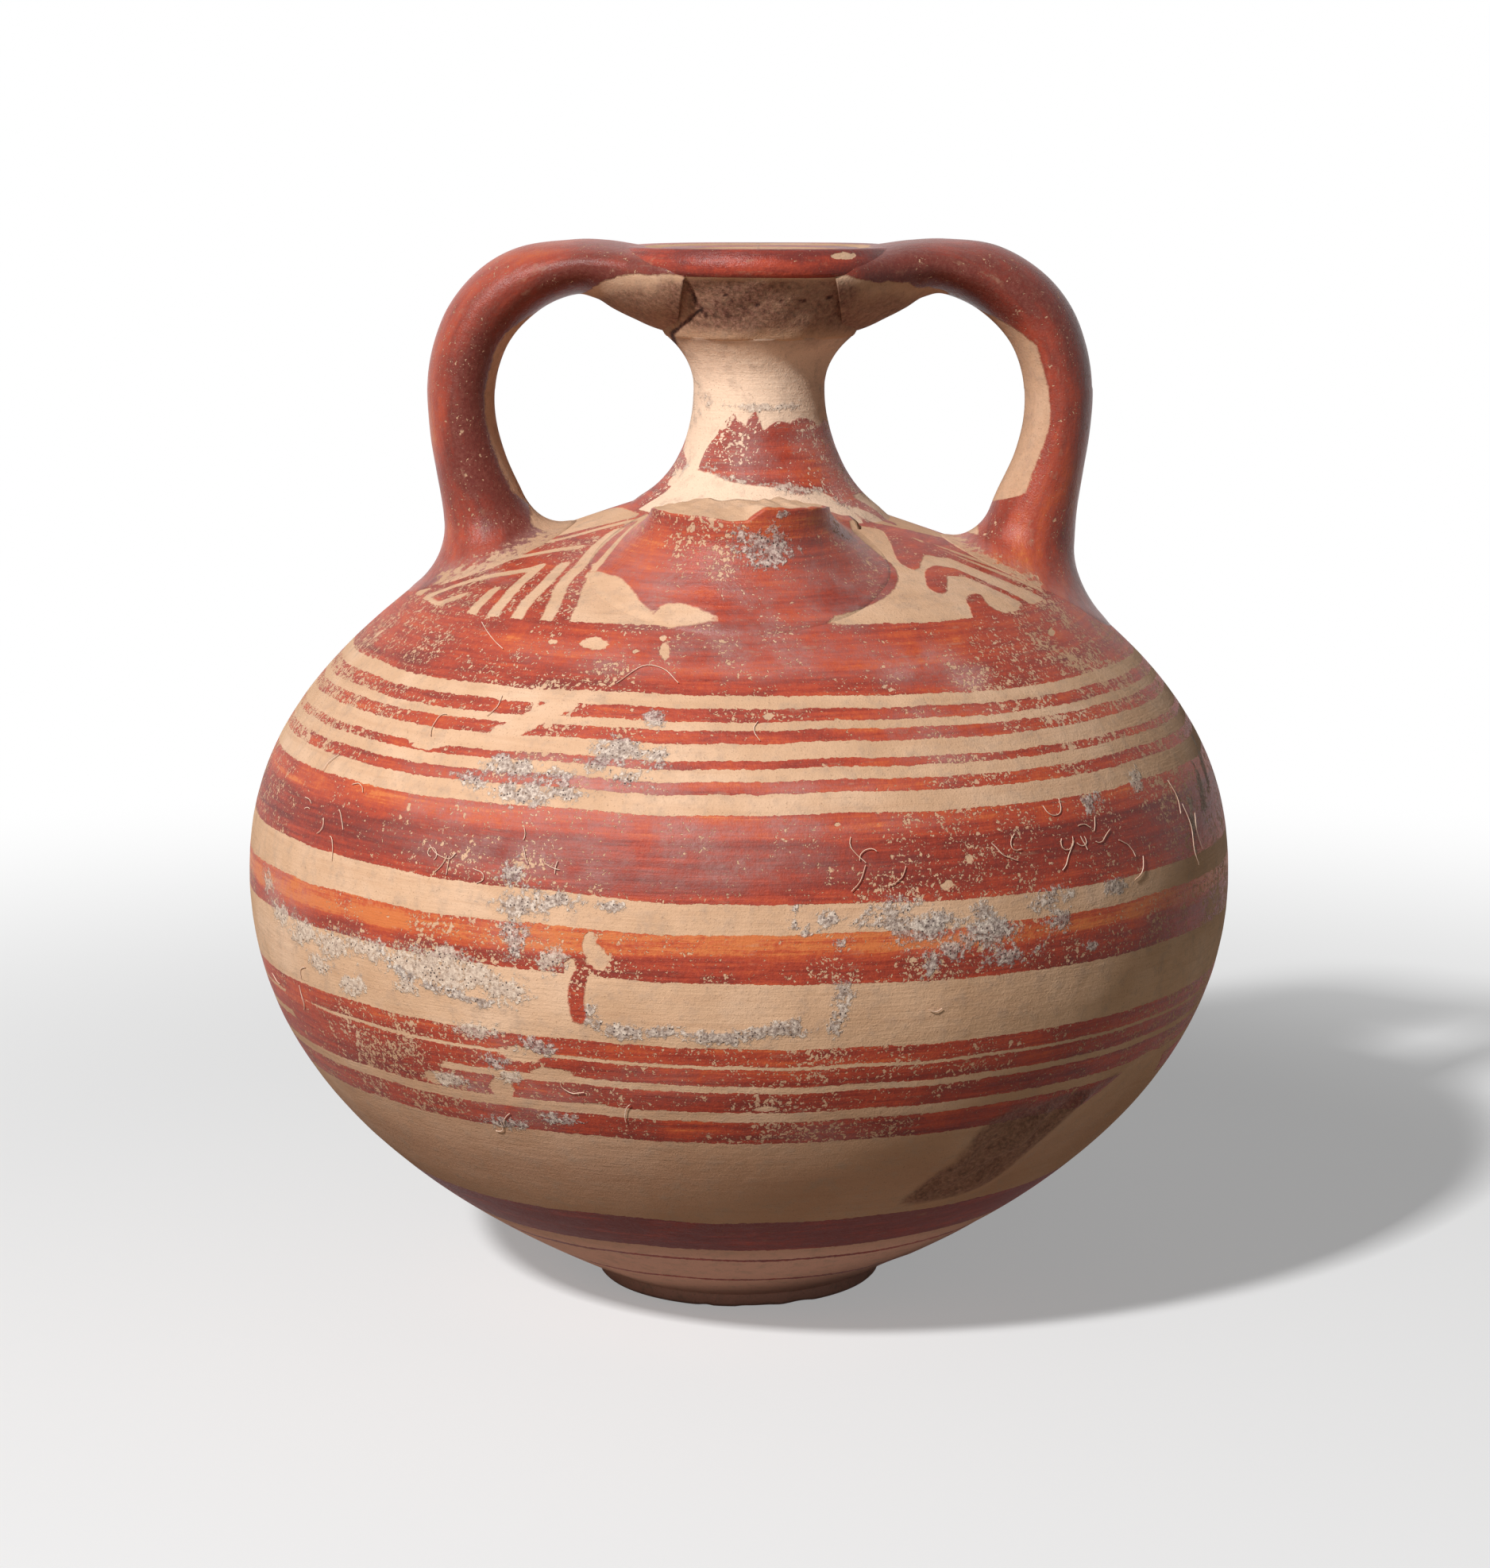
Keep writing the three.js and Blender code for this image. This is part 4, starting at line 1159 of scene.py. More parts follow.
# What a ring of the stump belongs to
OUTSIDE, BREAK, BORE = 0, 1, 2


def spout_ring(radius):
    """Where a ring round the spout's axis lies, across and from front to back."""
    return SPOUT_X + radius * np.sin(SPOUT_TURNS), SPOUT_Y - radius * np.cos(SPOUT_TURNS)


def spout_ground(x, y):
    """Height of the ground that the spout stands on, which climbs the neck's foot only a little way."""
    return np.minimum(ground_height(x, y), SPOUT_BASE + 2.4)


def break_height(radius):
    """Height of the break along a ring."""
    x, y = spout_ring(radius)
    share = graded(radius, SPOUT_BORE, SPOUT_RADIUS)
    shape = by_table(BREAK_BORE, SPOUT_AZIMUTHS) * (1 - share) + by_table(BREAK_OUTER, SPOUT_AZIMUTHS) * share
    places = np.stack([x, y, np.full(SPOUT_SIDES, SPOUT_BASE)], axis=1)
    grainy = 0.16 * drift(places, 1.8, 91) + 0.10 * drift(places, 0.7, 92)
    return SPOUT_BASE + shape + grainy * (1 - 0.6 * share)


def spout_rings():
    """The stump's rings, up the outside, over the break and down the bore, and the kind of each point."""
    edge = break_height(SPOUT_RADIUS)
    foot = np.minimum(spout_ground(*spout_ring(SPOUT_RADIUS + 1.5)), edge - 0.6)
    rings = []
    for share in np.linspace(0, 1, 40) ** 1.25:
        lift = share * (edge - foot)
        radius = SPOUT_RADIUS + fillet(lift, SPOUT_FILLET) * (1 - share ** 6) + 0.35 * graded(lift, 5, 0)
        x, y = spout_ring(radius)
        level = (spout_ground(x, y) + lift - 0.14 * (1 - share) ** 6) * (1 - share) + (foot + lift) * share
        rings.append((OUTSIDE, x, y, level))
    for radius in np.linspace(SPOUT_RADIUS, SPOUT_BORE, 18)[1:]:
        rings.append((BREAK, *spout_ring(radius), break_height(radius)))
    top = rings[-1][3]
    for drop in np.linspace(0, 1, 14)[1:]:
        rings.append((BORE, *spout_ring(SPOUT_BORE), top + (SPOUT_BASE - 1.5 - top) * drop))
    x, y = spout_ring(SPOUT_RADIUS + SPOUT_FILLET)
    rings.append((BORE, x, y, spout_ground(x, y) - 1.5))
    return [np.stack(ring[1:], axis=1) for ring in rings], np.repeat([ring[0] for ring in rings], SPOUT_SIDES)


def spout_stump(clay):
    """The spout's stump: it spreads at its foot and ends in a break that falls away from the bore."""
    rings, kinds = spout_rings()
    piece = lofted("spout_stump", rings, clay, looped=True)
    places = np.vstack(rings)
    x, y, z = places.T
    finish = Finish(places)
    angle = np.tile(SPOUT_AZIMUTHS, len(rings))
    within = SPOUT_RADIUS - np.hypot(x - SPOUT_X, y - SPOUT_Y)
    lip = 0.5 - within - 4 * np.clip(np.abs(angle - 50) / 44 - 1, 0, 1)
    near = np.clip(1.6 - (z - ground_height(x, y)), 0, 1)
    wall = 3 * (1 - near) + np.minimum(shoulder_paint(places), 3) * near
    finish.slip = np.select([kinds == OUTSIDE, kinds == BREAK], [wall, lip], -3.0)
    finish.tone, finish.veil = spout_slip(places)
    front = (kinds == OUTSIDE) & (y < SPOUT_Y)
    for across, up, wide, tall in SPOUT_CRUST:
        spot = 1 - np.hypot((x - across) / wide, (z - up) / tall)
        finish.crust = np.maximum(finish.crust, np.where(front, spot, -2))
    finish.chips = np.where(kinds == OUTSIDE, 0.6 + 0.3 * drift(places, 5, 95), 0.2)
    finish.write(piece.data)
    return piece


# Materials

# Unevenness that the layers of a material share: name, size in millimetres, detail and roughness
GRAINS = (
    ("clouds", 9.0, 4.0, 0.55), ("drifts", 5.0, 5.0, 0.62), ("patches", 1.7, 5.0, 0.7),
    ("ragged", 0.8, 4.0, 0.65), ("lace", 0.42, 4.0, 0.7), ("grain", 0.2, 3.0, 0.7),
)


def surface_fields(tree):
    """The values stored on the surface and the unevenness that the layers share, by name."""
    fields = {name: add_node(tree, ATTRIBUTE, attribute_name=name).outputs["Fac"] for name in Finish.PLAIN}
    in_metres = add_node(tree, "ShaderNodeTexCoord").outputs["Object"]
    fields["place"] = add_node(tree, VECTOR, {0: in_metres, "Scale": 1 / MM}, operation="SCALE")
    for name, size, detail, roughness in GRAINS:
        fields[name] = add_node(tree, NOISE, {
            "Vector": fields["place"], "Scale": 1 / size, "Detail": detail, "Roughness": roughness})
    brush = add_node(tree, ATTRIBUTE, attribute_name="brush").outputs["Vector"]
    for name, scale in (("streaks", 1.0), ("hairs", 2.9)):
        fields[name] = add_node(tree, NOISE, {
            "Vector": brush, "Scale": scale, "Detail": 4.0, "Roughness": 0.62})
    return fields


def layered(tree, fields, colour, layers):
    """Lays colours over one, each with the field that sets its share, the field's span and the most share."""
    for name, low, high, most, paint in layers:
        share = add_node(tree, MAP, {
            "Value": fields[name], "From Min": low, "From Max": high, "To Max": most})
        colour = add_node(tree, MIX, {SHARE: share, BELOW: colour, ABOVE: paint}, data_type="RGBA")
    return colour


def summed(tree, fields, start, shares):
    """A value with shares of several fields added to it."""
    total = start
    for name, share in shares:
        total = add_node(tree, MATH, {0: fields[name], 1: share, 2: total}, operation="MULTIPLY_ADD")
    return total


def band_stops(bands):
    """Stops of a ramp by height: white where a band of slip lies, black between the bands."""
    stops = [(0.0, "#000000")]
    for _, top, bottom in bands:
        stops.append((max(bottom / BAND_SPAN, 0.0001), "#ffffff"))
        stops.append((top / BAND_SPAN, "#000000"))
    return stops


def laid_slip(tree, fields):
    """1 where the brush left slip, by the bands' heights and the drawn marks, and 0 on bare clay."""
    wobble = add_node(tree, MATH, {0: fields["ragged"], 1: 0.5, 2: -0.25}, operation="MULTIPLY_ADD")
    level = add_node(tree, MATH, {0: fields["height"], 1: wobble}, operation="ADD")
    share = add_node(tree, MATH, {0: level, 1: BAND_SPAN}, operation="DIVIDE")
    drawn = add_node(tree, MATH, {0: fields["slip"], 1: wobble}, operation="ADD")
    laid_down = add_node(tree, MAP, {"Value": drawn, "From Min": -0.10, "From Max": 0.10})
    half = len(BANDS) // 2
    for bands in (BANDS[:half], BANDS[half:]):
        ramp = add_node(tree, RAMP, {"Fac": share}, band_stops(bands))
        ramp.color_ramp.interpolation = "CONSTANT"
        laid_down = add_node(tree, MATH, {0: laid_down, 1: ramp}, operation="MAXIMUM")
    return laid_down


# Chips in the slip: size and how much of it they take
CHIP_SIZES = ((1.7, 0.32), (0.8, 0.6), (0.42, 0.9), (0.24, 1.0))


def lost_slip(tree, fields):
    """How much slip is gone: whole flakes, chips of several sizes in drifts, and dry hairs of the brush."""
    flake = add_node(tree, MATH, {0: fields["ragged"], 1: 1.1, 2: fields["bare"]}, operation="MULTIPLY_ADD")
    lost = add_node(tree, MAP, {"Value": flake, "From Min": 0.62, "From Max": 0.74})
    bend = add_node(tree, NOISE, {"Vector": fields["place"], "Scale": 1.6, "Detail": 3.0}).outputs["Color"]
    bent = add_node(tree, VECTOR, {0: bend, 1: (1.1, 1.1, 1.1), 2: fields["place"]}, operation="MULTIPLY_ADD")
    crowded = add_node(tree, MAP, {
        "Value": fields["drifts"], "From Min": 0.26, "From Max": 0.74, "To Max": 1.05})
    amount = add_node(tree, MATH, {0: crowded, 1: fields["chips"]}, operation="MULTIPLY")
    for size, most in CHIP_SIZES:
        cells = add_node(tree, VORONOI, {"Vector": bent, "Scale": 1 / size})
        own = add_node(tree, MATH, {0: cells.outputs["Color"], 1: 2.2}, operation="POWER")
        room = add_node(tree, MATH, {0: amount, 1: own}, operation="MULTIPLY")
        over = add_node(tree, MATH, {0: room, 1: most * 2, 2: -0.07}, operation="MULTIPLY_ADD")
        depth = add_node(tree, MATH, {0: over, 1: cells.outputs["Distance"]}, operation="SUBTRACT")
        chip = add_node(tree, MAP, {"Value": depth, "From Min": -0.02, "From Max": 0.06, "To Max": 0.92})
        lost = add_node(tree, MATH, {0: lost, 1: chip}, operation="MAXIMUM")
    dry = add_node(tree, MATH, {0: fields["hairs"], 1: fields["patches"]}, operation="MULTIPLY")
    thin = add_node(tree, MAP, {"Value": dry, "From Min": 0.33, "From Max": 0.45, "To Max": 0.3})
    return add_node(tree, MATH, {0: lost, 1: thin}, operation="MAXIMUM")


# Tints over the clay, the slip and the soil: field, its span, the most share and the tint. The clay has
# turning streaks, is darker low on the belly, has a pinker foot, a paler neck, brown wear and specks
CLAY_LAYERS = (
    ("streaks", 0.5, 0.8, 0.5, "#b98c6b"), ("height", 36.0, 22.0, 0.62, "#a0705a"),
    # The pinker foot is partly the clay's own pink and partly painted light thrown up from the floor
    ("height", 14.0, 10.0, 0.9, "#e9b3a2"), ("height", 85.5, 87.5, 0.8, "#eacdb4"),
    ("patches", 0.50, 0.70, 0.45, "#a58d7c"), ("grain", 0.60, 0.74, 0.75, "#7d5b45"),
)
SLIP_WEAR = (("grain", 0.56, 0.74, 0.12, "#cf8f72"),)
# Near black in the cracks and in the deepest painted shade under the disc
CRACKS_AND_DEEP_SHADE = (("soil", 1.1, 1.9, 0.9, "#22140f"),)
CLAY_CLOUDS = ((0.3, "#c79f7e"), (0.5, "#d3ab8a"), (0.7, "#dcb799"))
# Slip from thin to thick
SLIP_REDS = ((0.0, "#cd7341"), (0.2, "#bc5431"), (0.45, "#a8422d"), (0.7, "#8c3426"), (1.0, "#6c2720"))
TONE_SHARES = (("streaks", 1.3), ("hairs", 0.7), ("drifts", 1.0), ("lace", 0.7))
# Browns of the soil, which also lay the painted shade under the disc
EARTH_AND_SHADE_TINTS = ((0.38, "#4f3229"), (0.5, "#71493b"), (0.64, "#93695a"))
LIME_TINTS = ((0.34, "#8d7d74"), (0.43, "#b3a093"), (0.53, "#cfbbaa"), (0.66, "#e6d7c6"))
CRUST_TINTS = ((0.36, "#5f524e"), (0.46, "#938681"), (0.54, "#b9aaa0"), (0.63, "#e4d5c7"))


def buff_colour(tree, fields):
    """Pinkish buff clay in soft clouds."""
    return layered(tree, fields, add_node(tree, RAMP, {"Fac": fields["clouds"]}, CLAY_CLOUDS), CLAY_LAYERS)


def slip_colour(tree, fields):
    """Iron-red slip: orange where thin, maroon where thick, brush-streaked, under a pinkish film, partly
    painted sheen.
    """
    mottled = summed(tree, fields, fields["tone"], TONE_SHARES)
    level = add_node(tree, MATH, {0: mottled, 1: 1.83}, operation="SUBTRACT")
    red = add_node(tree, RAMP, {"Fac": level}, SLIP_REDS)
    film = add_node(tree, MAP, {"Value": fields["drifts"], "From Min": 0.32, "From Max": 0.68})
    fine = add_node(tree, MAP, {"Value": fields["lace"], "From Min": 0.3, "From Max": 0.65, "To Min": 0.35})
    share = add_node(tree, MATH, {0: film, 1: fine}, operation="MULTIPLY")
    veil = add_node(tree, MATH, {0: share, 1: fields["veil"]}, operation="MULTIPLY")
    filmed = add_node(tree, MIX, {SHARE: veil, BELOW: red, ABOVE: "#c69a92"}, data_type="RGBA")
    return layered(tree, fields, filmed, SLIP_WEAR)


# Levels of the unevenness at which the two crusts begin
CRUST_EDGE = 2.78
LIME_EDGE = 2.72
EDGE_SOFTNESS = 0.35


def lace_cover(tree, fields, name, edge):
    """Where a ragged, broken crust lies, from 0 to 1, for one of the stored crusts."""
    both = summed(tree, fields, fields[name], (("patches", 3.4), ("lace", 2.0)))
    return add_node(tree, MAP, {"Value": both, "From Min": edge, "From Max": edge + EDGE_SOFTNESS})


def weathered(tree, fields, colour, soil, deposits):
    """A colour under soil and painted shade, dark cracks and deposits, each with its cover, its most share
    and its tints.
    """
    earth_and_shade = add_node(tree, RAMP, {"Fac": fields["lace"]}, EARTH_AND_SHADE_TINTS)
    soiled = add_node(tree, MIX, {SHARE: soil, BELOW: colour, ABOVE: earth_and_shade}, data_type="RGBA")
    colour = layered(tree, fields, soiled, CRACKS_AND_DEEP_SHADE)
    for cover, most, tints in deposits:
        tint = add_node(tree, RAMP, {"Fac": fields["lace"]}, tints)
        share = add_node(tree, MATH, {0: cover, 1: most}, operation="MULTIPLY")
        colour = add_node(tree, MIX, {SHARE: share, BELOW: colour, ABOVE: tint}, data_type="RGBA")
    return colour


def pitted(tree, fields, colour, crusted):
    """A colour with dark pits where the crusts lie."""
    cells = add_node(tree, VORONOI, {"Vector": fields["place"], "Scale": 2.6}).outputs["Distance"]
    hole = add_node(tree, MATH, {0: fields["patches"], 1: 0.5, 2: cells}, operation="MULTIPLY_ADD")
    pit = add_node(tree, MAP, {"Value": hole, "From Min": 0.53, "From Max": 0.43})
    share = add_node(tree, MATH, {0: pit, 1: crusted}, operation="MULTIPLY")
    return add_node(tree, MIX, {SHARE: share, BELOW: colour, ABOVE: "#4a3c38"}, data_type="RGBA")


def surface_bump(tree, fields, cover, soil, crusted):
    """The fine relief: the slip's thickness, the clay's grain, and knobs of crust and soil."""
    slip = add_node(tree, MATH, {0: cover, 1: 0.05}, operation="MULTIPLY")
    relief = summed(tree, fields, slip, (("grain", 0.05), ("hairs", 0.05), ("patches", 0.12)))
    knobs = add_node(tree, MATH, {0: fields["lace"], 1: 0.09}, operation="MULTIPLY")
    dirty = add_node(tree, MATH, {0: soil, 1: 0.5}, operation="MULTIPLY")
    rugged = add_node(tree, MATH, {0: crusted, 1: dirty}, operation="ADD")
    height = add_node(tree, MATH, {0: rugged, 1: knobs, 2: relief}, operation="MULTIPLY_ADD")
    return add_node(tree, "ShaderNodeBump", {"Height": height, "Strength": 1.0, "Distance": MM})


CLAY_ROUGHNESS = 0.8
# Specular level at two heights: the underside turns from the light and shows less of the floor
SHEEN_Z = (14.0, 54.0)
SHEEN = (0.05, 0.22)


def painted_clay(name, slip_roughness):
    """Buff clay, smoothed on the wheel and painted with iron-rich slip that fired red.

    The clay is matt. The slip has a low polish and is chipped to the clay. Lime and soil from the ground lie
    on both as a grey, pitted lace and as a paler white one."""
    material, tree, shader = new_material(name)
    fields = surface_fields(tree)
    kept = add_node(tree, MATH, {0: 1.0, 1: lost_slip(tree, fields)}, operation="SUBTRACT")
    cover = add_node(tree, MATH, {0: laid_slip(tree, fields), 1: kept}, operation="MULTIPLY")
    crust = lace_cover(tree, fields, "crust", CRUST_EDGE)
    lime = lace_cover(tree, fields, "lime", LIME_EDGE)
    crusted = add_node(tree, MATH, {0: crust, 1: lime}, operation="MAXIMUM")
    dirt = add_node(tree, MATH, {0: fields["ragged"], 1: 0.8, 2: 0.35}, operation="MULTIPLY_ADD")
    # Share of soil and of painted shade
    soil = add_node(tree, MATH, {0: dirt, 1: fields["soil"]}, operation="MULTIPLY", use_clamp=True)

    painted = add_node(tree, MIX, {
        SHARE: cover, BELOW: buff_colour(tree, fields), ABOVE: slip_colour(tree, fields)}, data_type="RGBA")
    colour = weathered(tree, fields, painted, soil, ((lime, 0.75, LIME_TINTS), (crust, 0.78, CRUST_TINTS)))
    colour = pitted(tree, fields, colour, crusted)
    clear = add_node(tree, MATH, {0: 1.0, 1: crusted}, operation="SUBTRACT")
    polished = add_node(tree, MATH, {0: cover, 1: clear}, operation="MULTIPLY")
    gloss = add_node(tree, MATH, {
        0: polished, 1: slip_roughness - CLAY_ROUGHNESS, 2: CLAY_ROUGHNESS - 0.06}, operation="MULTIPLY_ADD")
    rough = add_node(tree, MATH, {0: fields["patches"], 1: 0.16, 2: gloss}, operation="MULTIPLY_ADD")
    bump = surface_bump(tree, fields, cover, soil, crusted)
    sheen = add_node(tree, MAP, {
        "Value": fields["height"], "From Min": SHEEN_Z[0], "From Max": SHEEN_Z[1], "To Min": SHEEN[0],
        "To Max": SHEEN[1]})
    tree.links.new(colour.outputs[2], shader.inputs["Base Color"])
    tree.links.new(rough.outputs[0], shader.inputs["Roughness"])
    tree.links.new(bump.outputs["Normal"], shader.inputs["Normal"])
    tree.links.new(sheen.outputs[0], shader.inputs["Specular IOR Level"])
    return material


# Rootlets, fine lime casts of roots on the body: middle azimuth and height, spread, count and length
ROOT_TANGLES = (
    (-33, 53.2, 2.0, 3, 3), (-24, 55.0, 2.2, 2, 2), (-20, 54.2, 2.4, 2, 2), (-54, 55.0, 3.0, 5, 2.5),
    (18, 54.6, 3.0, 2, 3), (30, 54.6, 2.6, 2, 3), (41.2, 54.6, 1.4, 7, 3), (10, 53.6, 2.0, 1, 3),
    (-36, 64, 3.0, 2, 3), (-58, 40, 5.0, 3, 3), (46, 52, 3.0, 2, 3), (24, 41, 4.0, 1, 3),
    (-12, 32, 4.0, 2, 3), (-60, 60, 4.0, 2, 4), (34, 60, 4.0, 1, 4), (-28, 28, 3.0, 2, 3),
    (150, 56, 9.0, 4, 4), (-150, 50, 9.0, 4, 4), (110, 60, 8.0, 3, 4), (-110, 62, 8.0, 3, 4),
    (175, 68, 6.0, 3, 4),
)
# Single rootlets, by azimuth and height
ROOT_LINES = (
    [(-29.4, 52.6), (-28.2, 52.3), (-28.0, 51.7), (-28.8, 51.3)],
    [(-35.6, 54.2), (-34.4, 53.5), (-32.7, 53.2), (-31.9, 53.8)],
    [(13.6, 53.9), (12.9, 52.5), (11.9, 51.6)],
    [(2.5, 66.3), (2.0, 65.8), (2.1, 65.3), (2.7, 64.7)],
    [(-46.1, 73.2), (-41, 72.0), (-37.7, 71.3)],
    [(-16.9, 69.2), (-13.8, 70.7), (-10.6, 70.5), (-8.2, 69.4)],
    [(62.2, 54.9), (63, 52.6), (62.6, 50.4), (63.4, 48.7)],
    [(65.1, 53.6), (64.4, 51.9), (65.2, 50.0)],
    [(60.6, 57.4), (61.4, 55.7), (61.0, 54.1)],
)
ROOT_RADIUS = 0.043
ROOT_STEP = 0.3


def root_paths():
    """The rootlets' paths on the body's surface: the single ones, and curling ones from a fixed draw."""
    draw = np.random.default_rng(7)
    paths = []
    for line in ROOT_LINES:
        azimuth, heights = through(line, 5).T
        reach, angles = body_radius(heights), np.radians(azimuth)
        paths.append(np.stack([reach * np.sin(angles), -reach * np.cos(angles), heights], axis=1).tolist())
    for azimuth, z, spread, count, length in ROOT_TANGLES:
        for _ in range(count):
            radius = float(body_radius(z))
            u = math.radians(azimuth) * radius + draw.normal() * spread
            along = float(body_length(z)) + draw.normal() * spread * 0.5
            way = draw.uniform(0, 2 * math.pi)
            bend = draw.normal() * 0.3
            path = []
            for _ in range(max(5, int(length * draw.uniform(0.6, 1.3) / ROOT_STEP))):
                r, height = (float(np.interp(along, SIDE_LENGTH, SIDE[:, i])) for i in (0, 1))
                angle = u / radius
                path.append((r * math.sin(angle), -r * math.cos(angle), height))
                bend = 0.8 * bend + draw.normal() * 0.14
                way += bend
                u += ROOT_STEP * math.cos(way)
                along += ROOT_STEP * math.sin(way)
            paths.append(path)
    return paths


def root_tree():
    """Geometry Nodes that give every path a round skin with closed ends."""
    tree = geometry_tree("rootlet casts", (
        ("Paths", "Geometry"), ("Radius", "Float"), ("Sides", "Int"), ("Lime", "Material")), "Casts")
    given = add_node(tree, "NodeGroupInput").outputs
    curve = add_node(tree, "GeometryNodeMeshToCurve", {"Mesh": given["Paths"]})
    ring = add_node(tree, "GeometryNodeCurvePrimitiveCircle", {
        "Resolution": given["Sides"], "Radius": given["Radius"]})
    skin = add_node(tree, "GeometryNodeCurveToMesh", {
        "Curve": curve, "Profile Curve": ring, "Fill Caps": True})
    real = add_node(tree, "GeometryNodeRealizeInstances", {"Geometry": skin})
    lime = add_node(tree, "GeometryNodeSetMaterial", {"Geometry": real, "Material": given["Lime"]})
    add_node(tree, "NodeGroupOutput", {"Casts": lime})
    return tree


def rootlets():
    """The casts of fine roots on the body."""
    places, edges = [], []
    for path in root_paths():
        first = len(places)
        places += [tuple(value * MM for value in point) for point in path]
        edges += [(i, i + 1) for i in range(first, len(places) - 1)]
    mesh = bpy.data.meshes.new("rootlets")
    mesh.from_pydata(places, edges, [])
    return shaped(new_piece("rootlets", mesh), root_tree(), {
        "Radius": ROOT_RADIUS * MM, "Sides": 5, "Lime": root_lime()})


def root_lime():
    """Pale, chalky lime, matt all over."""
    material, tree, shader = new_material("chalky root lime")
    place = add_node(tree, "ShaderNodeTexCoord").outputs["Object"]
    mottle = add_node(tree, NOISE, {"Vector": place, "Scale": 600.0, "Detail": 4.0})
    colour = add_node(tree, RAMP, {"Fac": mottle}, ((0.35, "#cfa68b"), (0.65, "#ecd0bb")))
    tree.links.new(colour.outputs["Color"], shader.inputs["Base Color"])
    shader.inputs["Roughness"].default_value = 0.9
    return material


# The object

BANDED_ROUGHNESS = 0.46
BURNISHED_ROUGHNESS = 0.3
LEFT_STRIP, RIGHT_STRIP = 0.7, 2.1  # widths of the bare strips on the handles' inner sides

banded_clay = painted_clay("banded clay", BANDED_ROUGHNESS)
slipped_clay = painted_clay("burnished red slip", BURNISHED_ROUGHNESS)
pieces = (
    (body(banded_clay), "body", "banded_clay"),
    (foot_ring(banded_clay), "foot_ring", "buff_clay"),
    (false_neck(banded_clay), "false_neck", "banded_clay"),
    (disc(slipped_clay), "disc", "red_slip"),
    (handle("left_handle", -1, LEFT_STRIP, slipped_clay), "left_handle", "red_slip"),
    (handle("right_handle", 1, RIGHT_STRIP, slipped_clay), "right_handle", "red_slip"),
    (spout_stump(slipped_clay), "spout_stump", "red_slip"),
)
for piece, node, slot in pieces:
    piece.data.shade_smooth()
    piece.name = "painted_" + node
    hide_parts(node)
    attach(piece, "root")
roots = rootlets()
roots.data.shade_smooth()
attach(roots, "root")


# The studio

def white_to_camera(tree, seen, rest):
    """A value for rays straight from the eye, by gloss or through glass, and another for the rest."""
    rays = add_node(tree, "ShaderNodeLightPath").outputs
    direct = add_node(tree, MATH, {0: rays["Is Camera Ray"], 1: rays["Is Glossy Ray"]}, operation="MAXIMUM")
    either = add_node(tree, MATH, {0: direct, 1: rays["Is Transmission Ray"]}, operation="MAXIMUM")
    return add_node(tree, MAP, {"Value": either, "To Min": rest, "To Max": seen})


# In metres: how far the floor runs, and the distances between which it fades to plain white
FLOOR_REACH = 3.0
FLOOR_FADE = (0.09, 0.30)
FLOOR_GLOW = 0.32  # share of plain white close to the jar


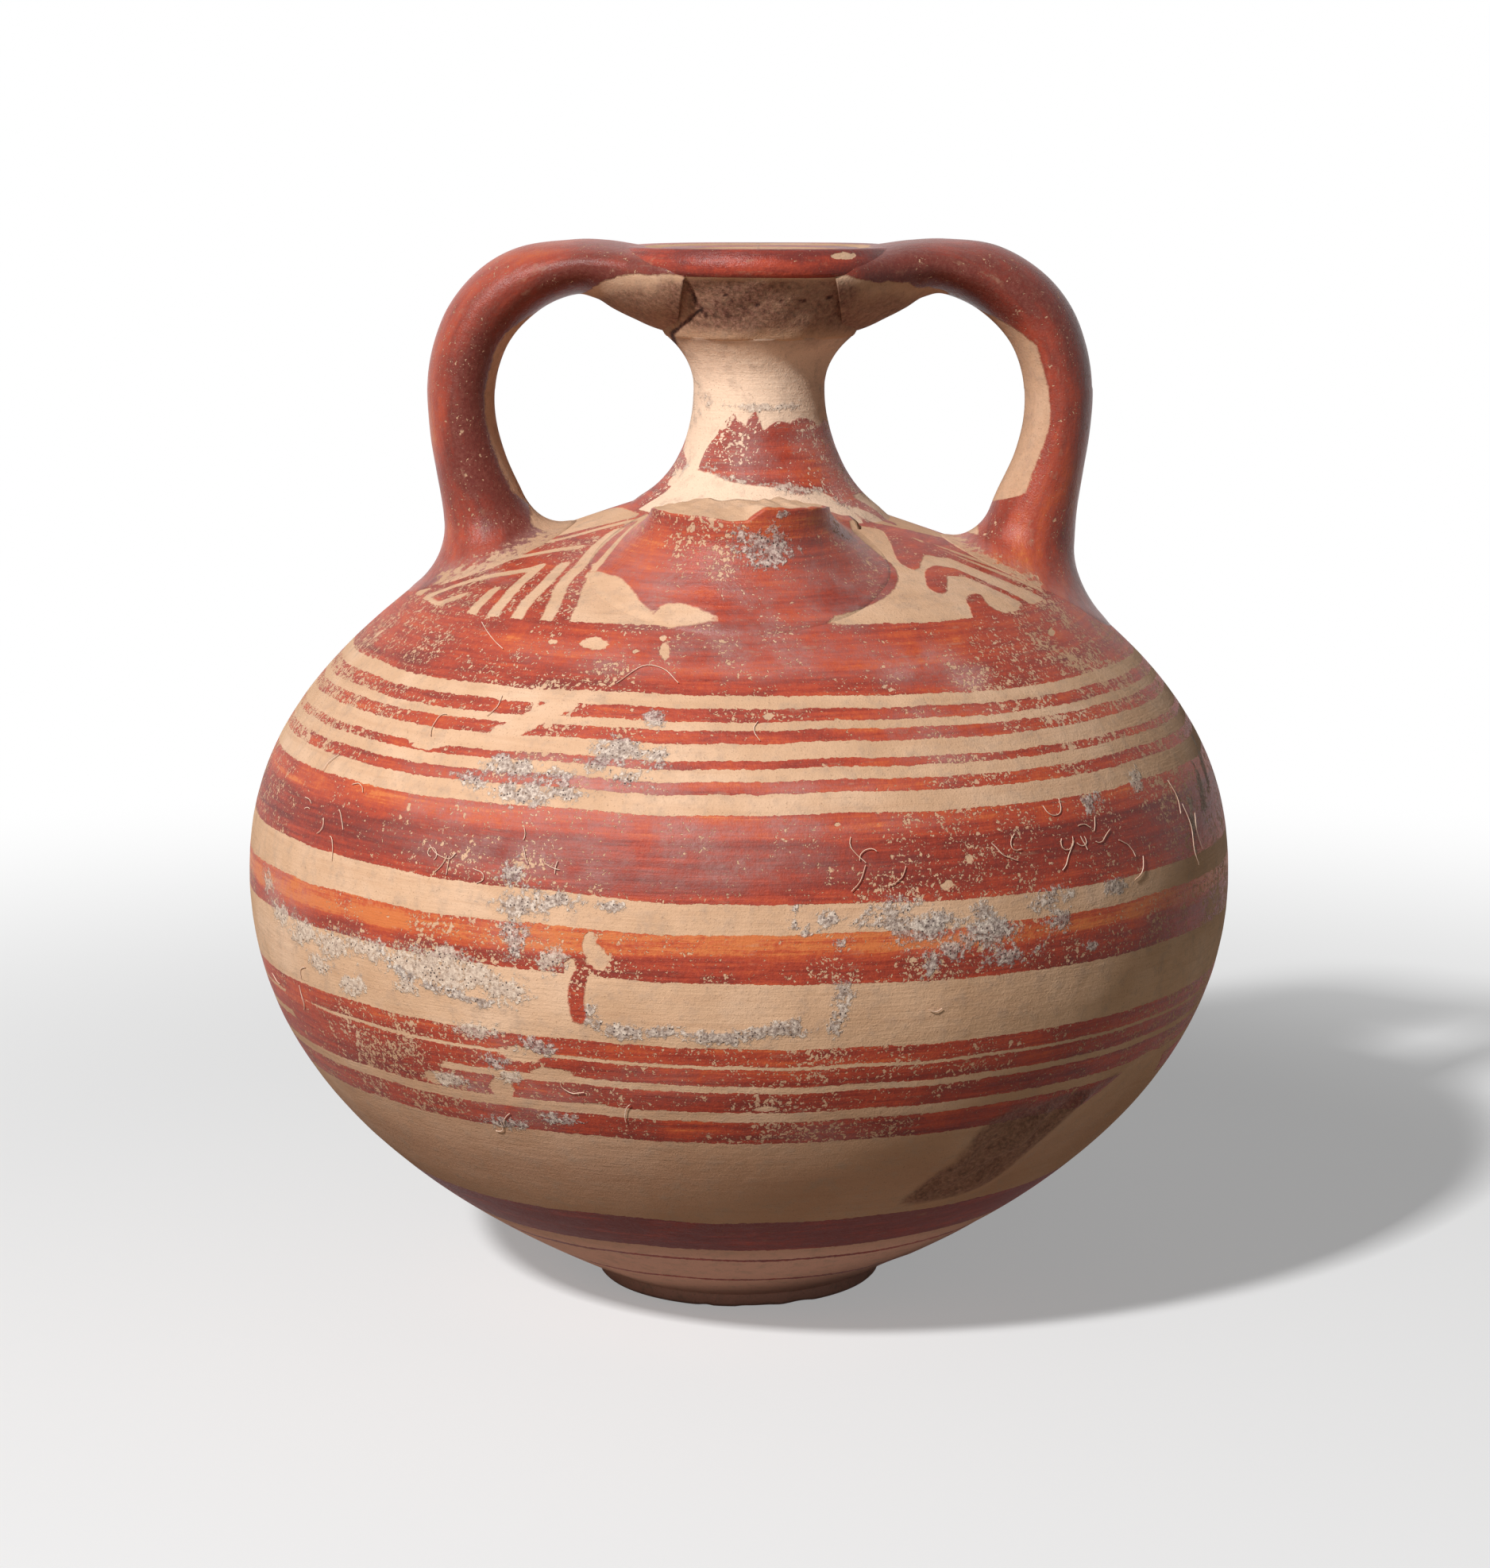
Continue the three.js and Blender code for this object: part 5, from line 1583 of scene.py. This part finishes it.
def floor():
    """The pale floor that the jar stands on. It fades to plain white away from the jar's shadow."""
    mesh = bpy.data.meshes.new("floor")
    corner_signs = ((-1, -1), (1, -1), (1, 1), (-1, 1))
    mesh.from_pydata([(a * FLOOR_REACH, b * FLOOR_REACH, 0) for a, b in corner_signs], [], [(0, 1, 2, 3)])
    piece = new_piece("floor", mesh)
    material, tree, shader = new_material("pale floor")
    shader.inputs["Roughness"].default_value = 0.9
    shader.inputs["Specular IOR Level"].default_value = 0.0
    place = add_node(tree, "ShaderNodeTexCoord").outputs["Object"]
    far = add_node(tree, VECTOR, {0: place}, operation="LENGTH")
    near, away = FLOOR_FADE
    fade = add_node(tree, MAP, {"Value": far, "From Min": near, "From Max": away, "To Min": FLOOR_GLOW},
                    interpolation_type="SMOOTHSTEP")
    seen = white_to_camera(tree, 1.0, 0.0)
    pale = add_node(tree, MIX, {SHARE: seen, BELOW: "#958e82", ABOVE: "#e4e4e4"}, data_type="RGBA")
    tree.links.new(pale.outputs[2], shader.inputs["Base Color"])
    glow = add_node(tree, "ShaderNodeEmission", {"Strength": seen})
    share = add_node(tree, MATH, {0: seen, 1: fade}, operation="MULTIPLY")
    mixed = add_node(tree, "ShaderNodeMixShader", {0: share, 1: shader, 2: glow})
    tree.links.new(mixed.outputs[0], tree.nodes["Material Output"].inputs["Surface"])
    mesh.materials.append(material)


LAMP_TARGET = Vector((0, 0, 60 * MM))
# Name, azimuth, elevation, distance, size and power
LAMPS = (("key lamp", -35, 38.5, 1.3, 0.10, 22.0), ("fill lamp", 0, 12, 1.3, 0.6, 0.6))
WORLD_LIGHT = 0.04  # what the world gives to all but the camera


def area_lamp(name, azimuth, elevation, distance, size, power):
    """A soft square lamp that faces the jar. Azimuth 0 is the front, and distances are in metres."""
    turn, climb = math.radians(azimuth), math.radians(elevation)
    away = Vector((math.sin(turn) * math.cos(climb), -math.cos(turn) * math.cos(climb), math.sin(climb)))
    data = bpy.data.lights.new(name, "AREA")
    data.size = size
    data.energy = power
    piece = bpy.data.objects.new(name, data)
    piece.location = LAMP_TARGET + away * distance
    piece.rotation_euler = (-away).to_track_quat("-Z", "Y").to_euler()
    bpy.context.scene.collection.objects.link(piece)


# The camera as fitted to the photograph: its place, how far it looks down, in degrees, and its lens
CAMERA_PLACE = (0.66 * MM, -372.5 * MM, 119.8 * MM)
CAMERA_PITCH = 10.21
CAMERA_LENS = 82.3
SENSOR_WIDTH = 36


def camera():
    """The camera at the photograph's viewing angle."""
    data = bpy.data.cameras.new("camera")
    data.lens = CAMERA_LENS
    data.sensor_width = SENSOR_WIDTH
    data.clip_start = 0.01
    piece = bpy.data.objects.new("camera", data)
    piece.location = CAMERA_PLACE
    piece.rotation_euler = (math.radians(90 - CAMERA_PITCH), 0, 0)
    bpy.context.scene.collection.objects.link(piece)
    bpy.context.scene.camera = piece


def studio():
    """Sunlight-like key from the upper left front, a weak fill, and a world that looks white."""
    for lamp in LAMPS:
        area_lamp(*lamp)
    world = bpy.data.worlds.new("studio")
    world.use_nodes = True
    tree = world.node_tree
    background = tree.nodes["Background"]
    background.inputs["Color"].default_value = (1, 1, 1, 1)
    tree.links.new(white_to_camera(tree, 1.0, WORLD_LIGHT).outputs[0], background.inputs["Strength"])
    bpy.context.scene.world = world
    bpy.context.scene.view_settings.view_transform = "Standard"


floor()
camera()
studio()
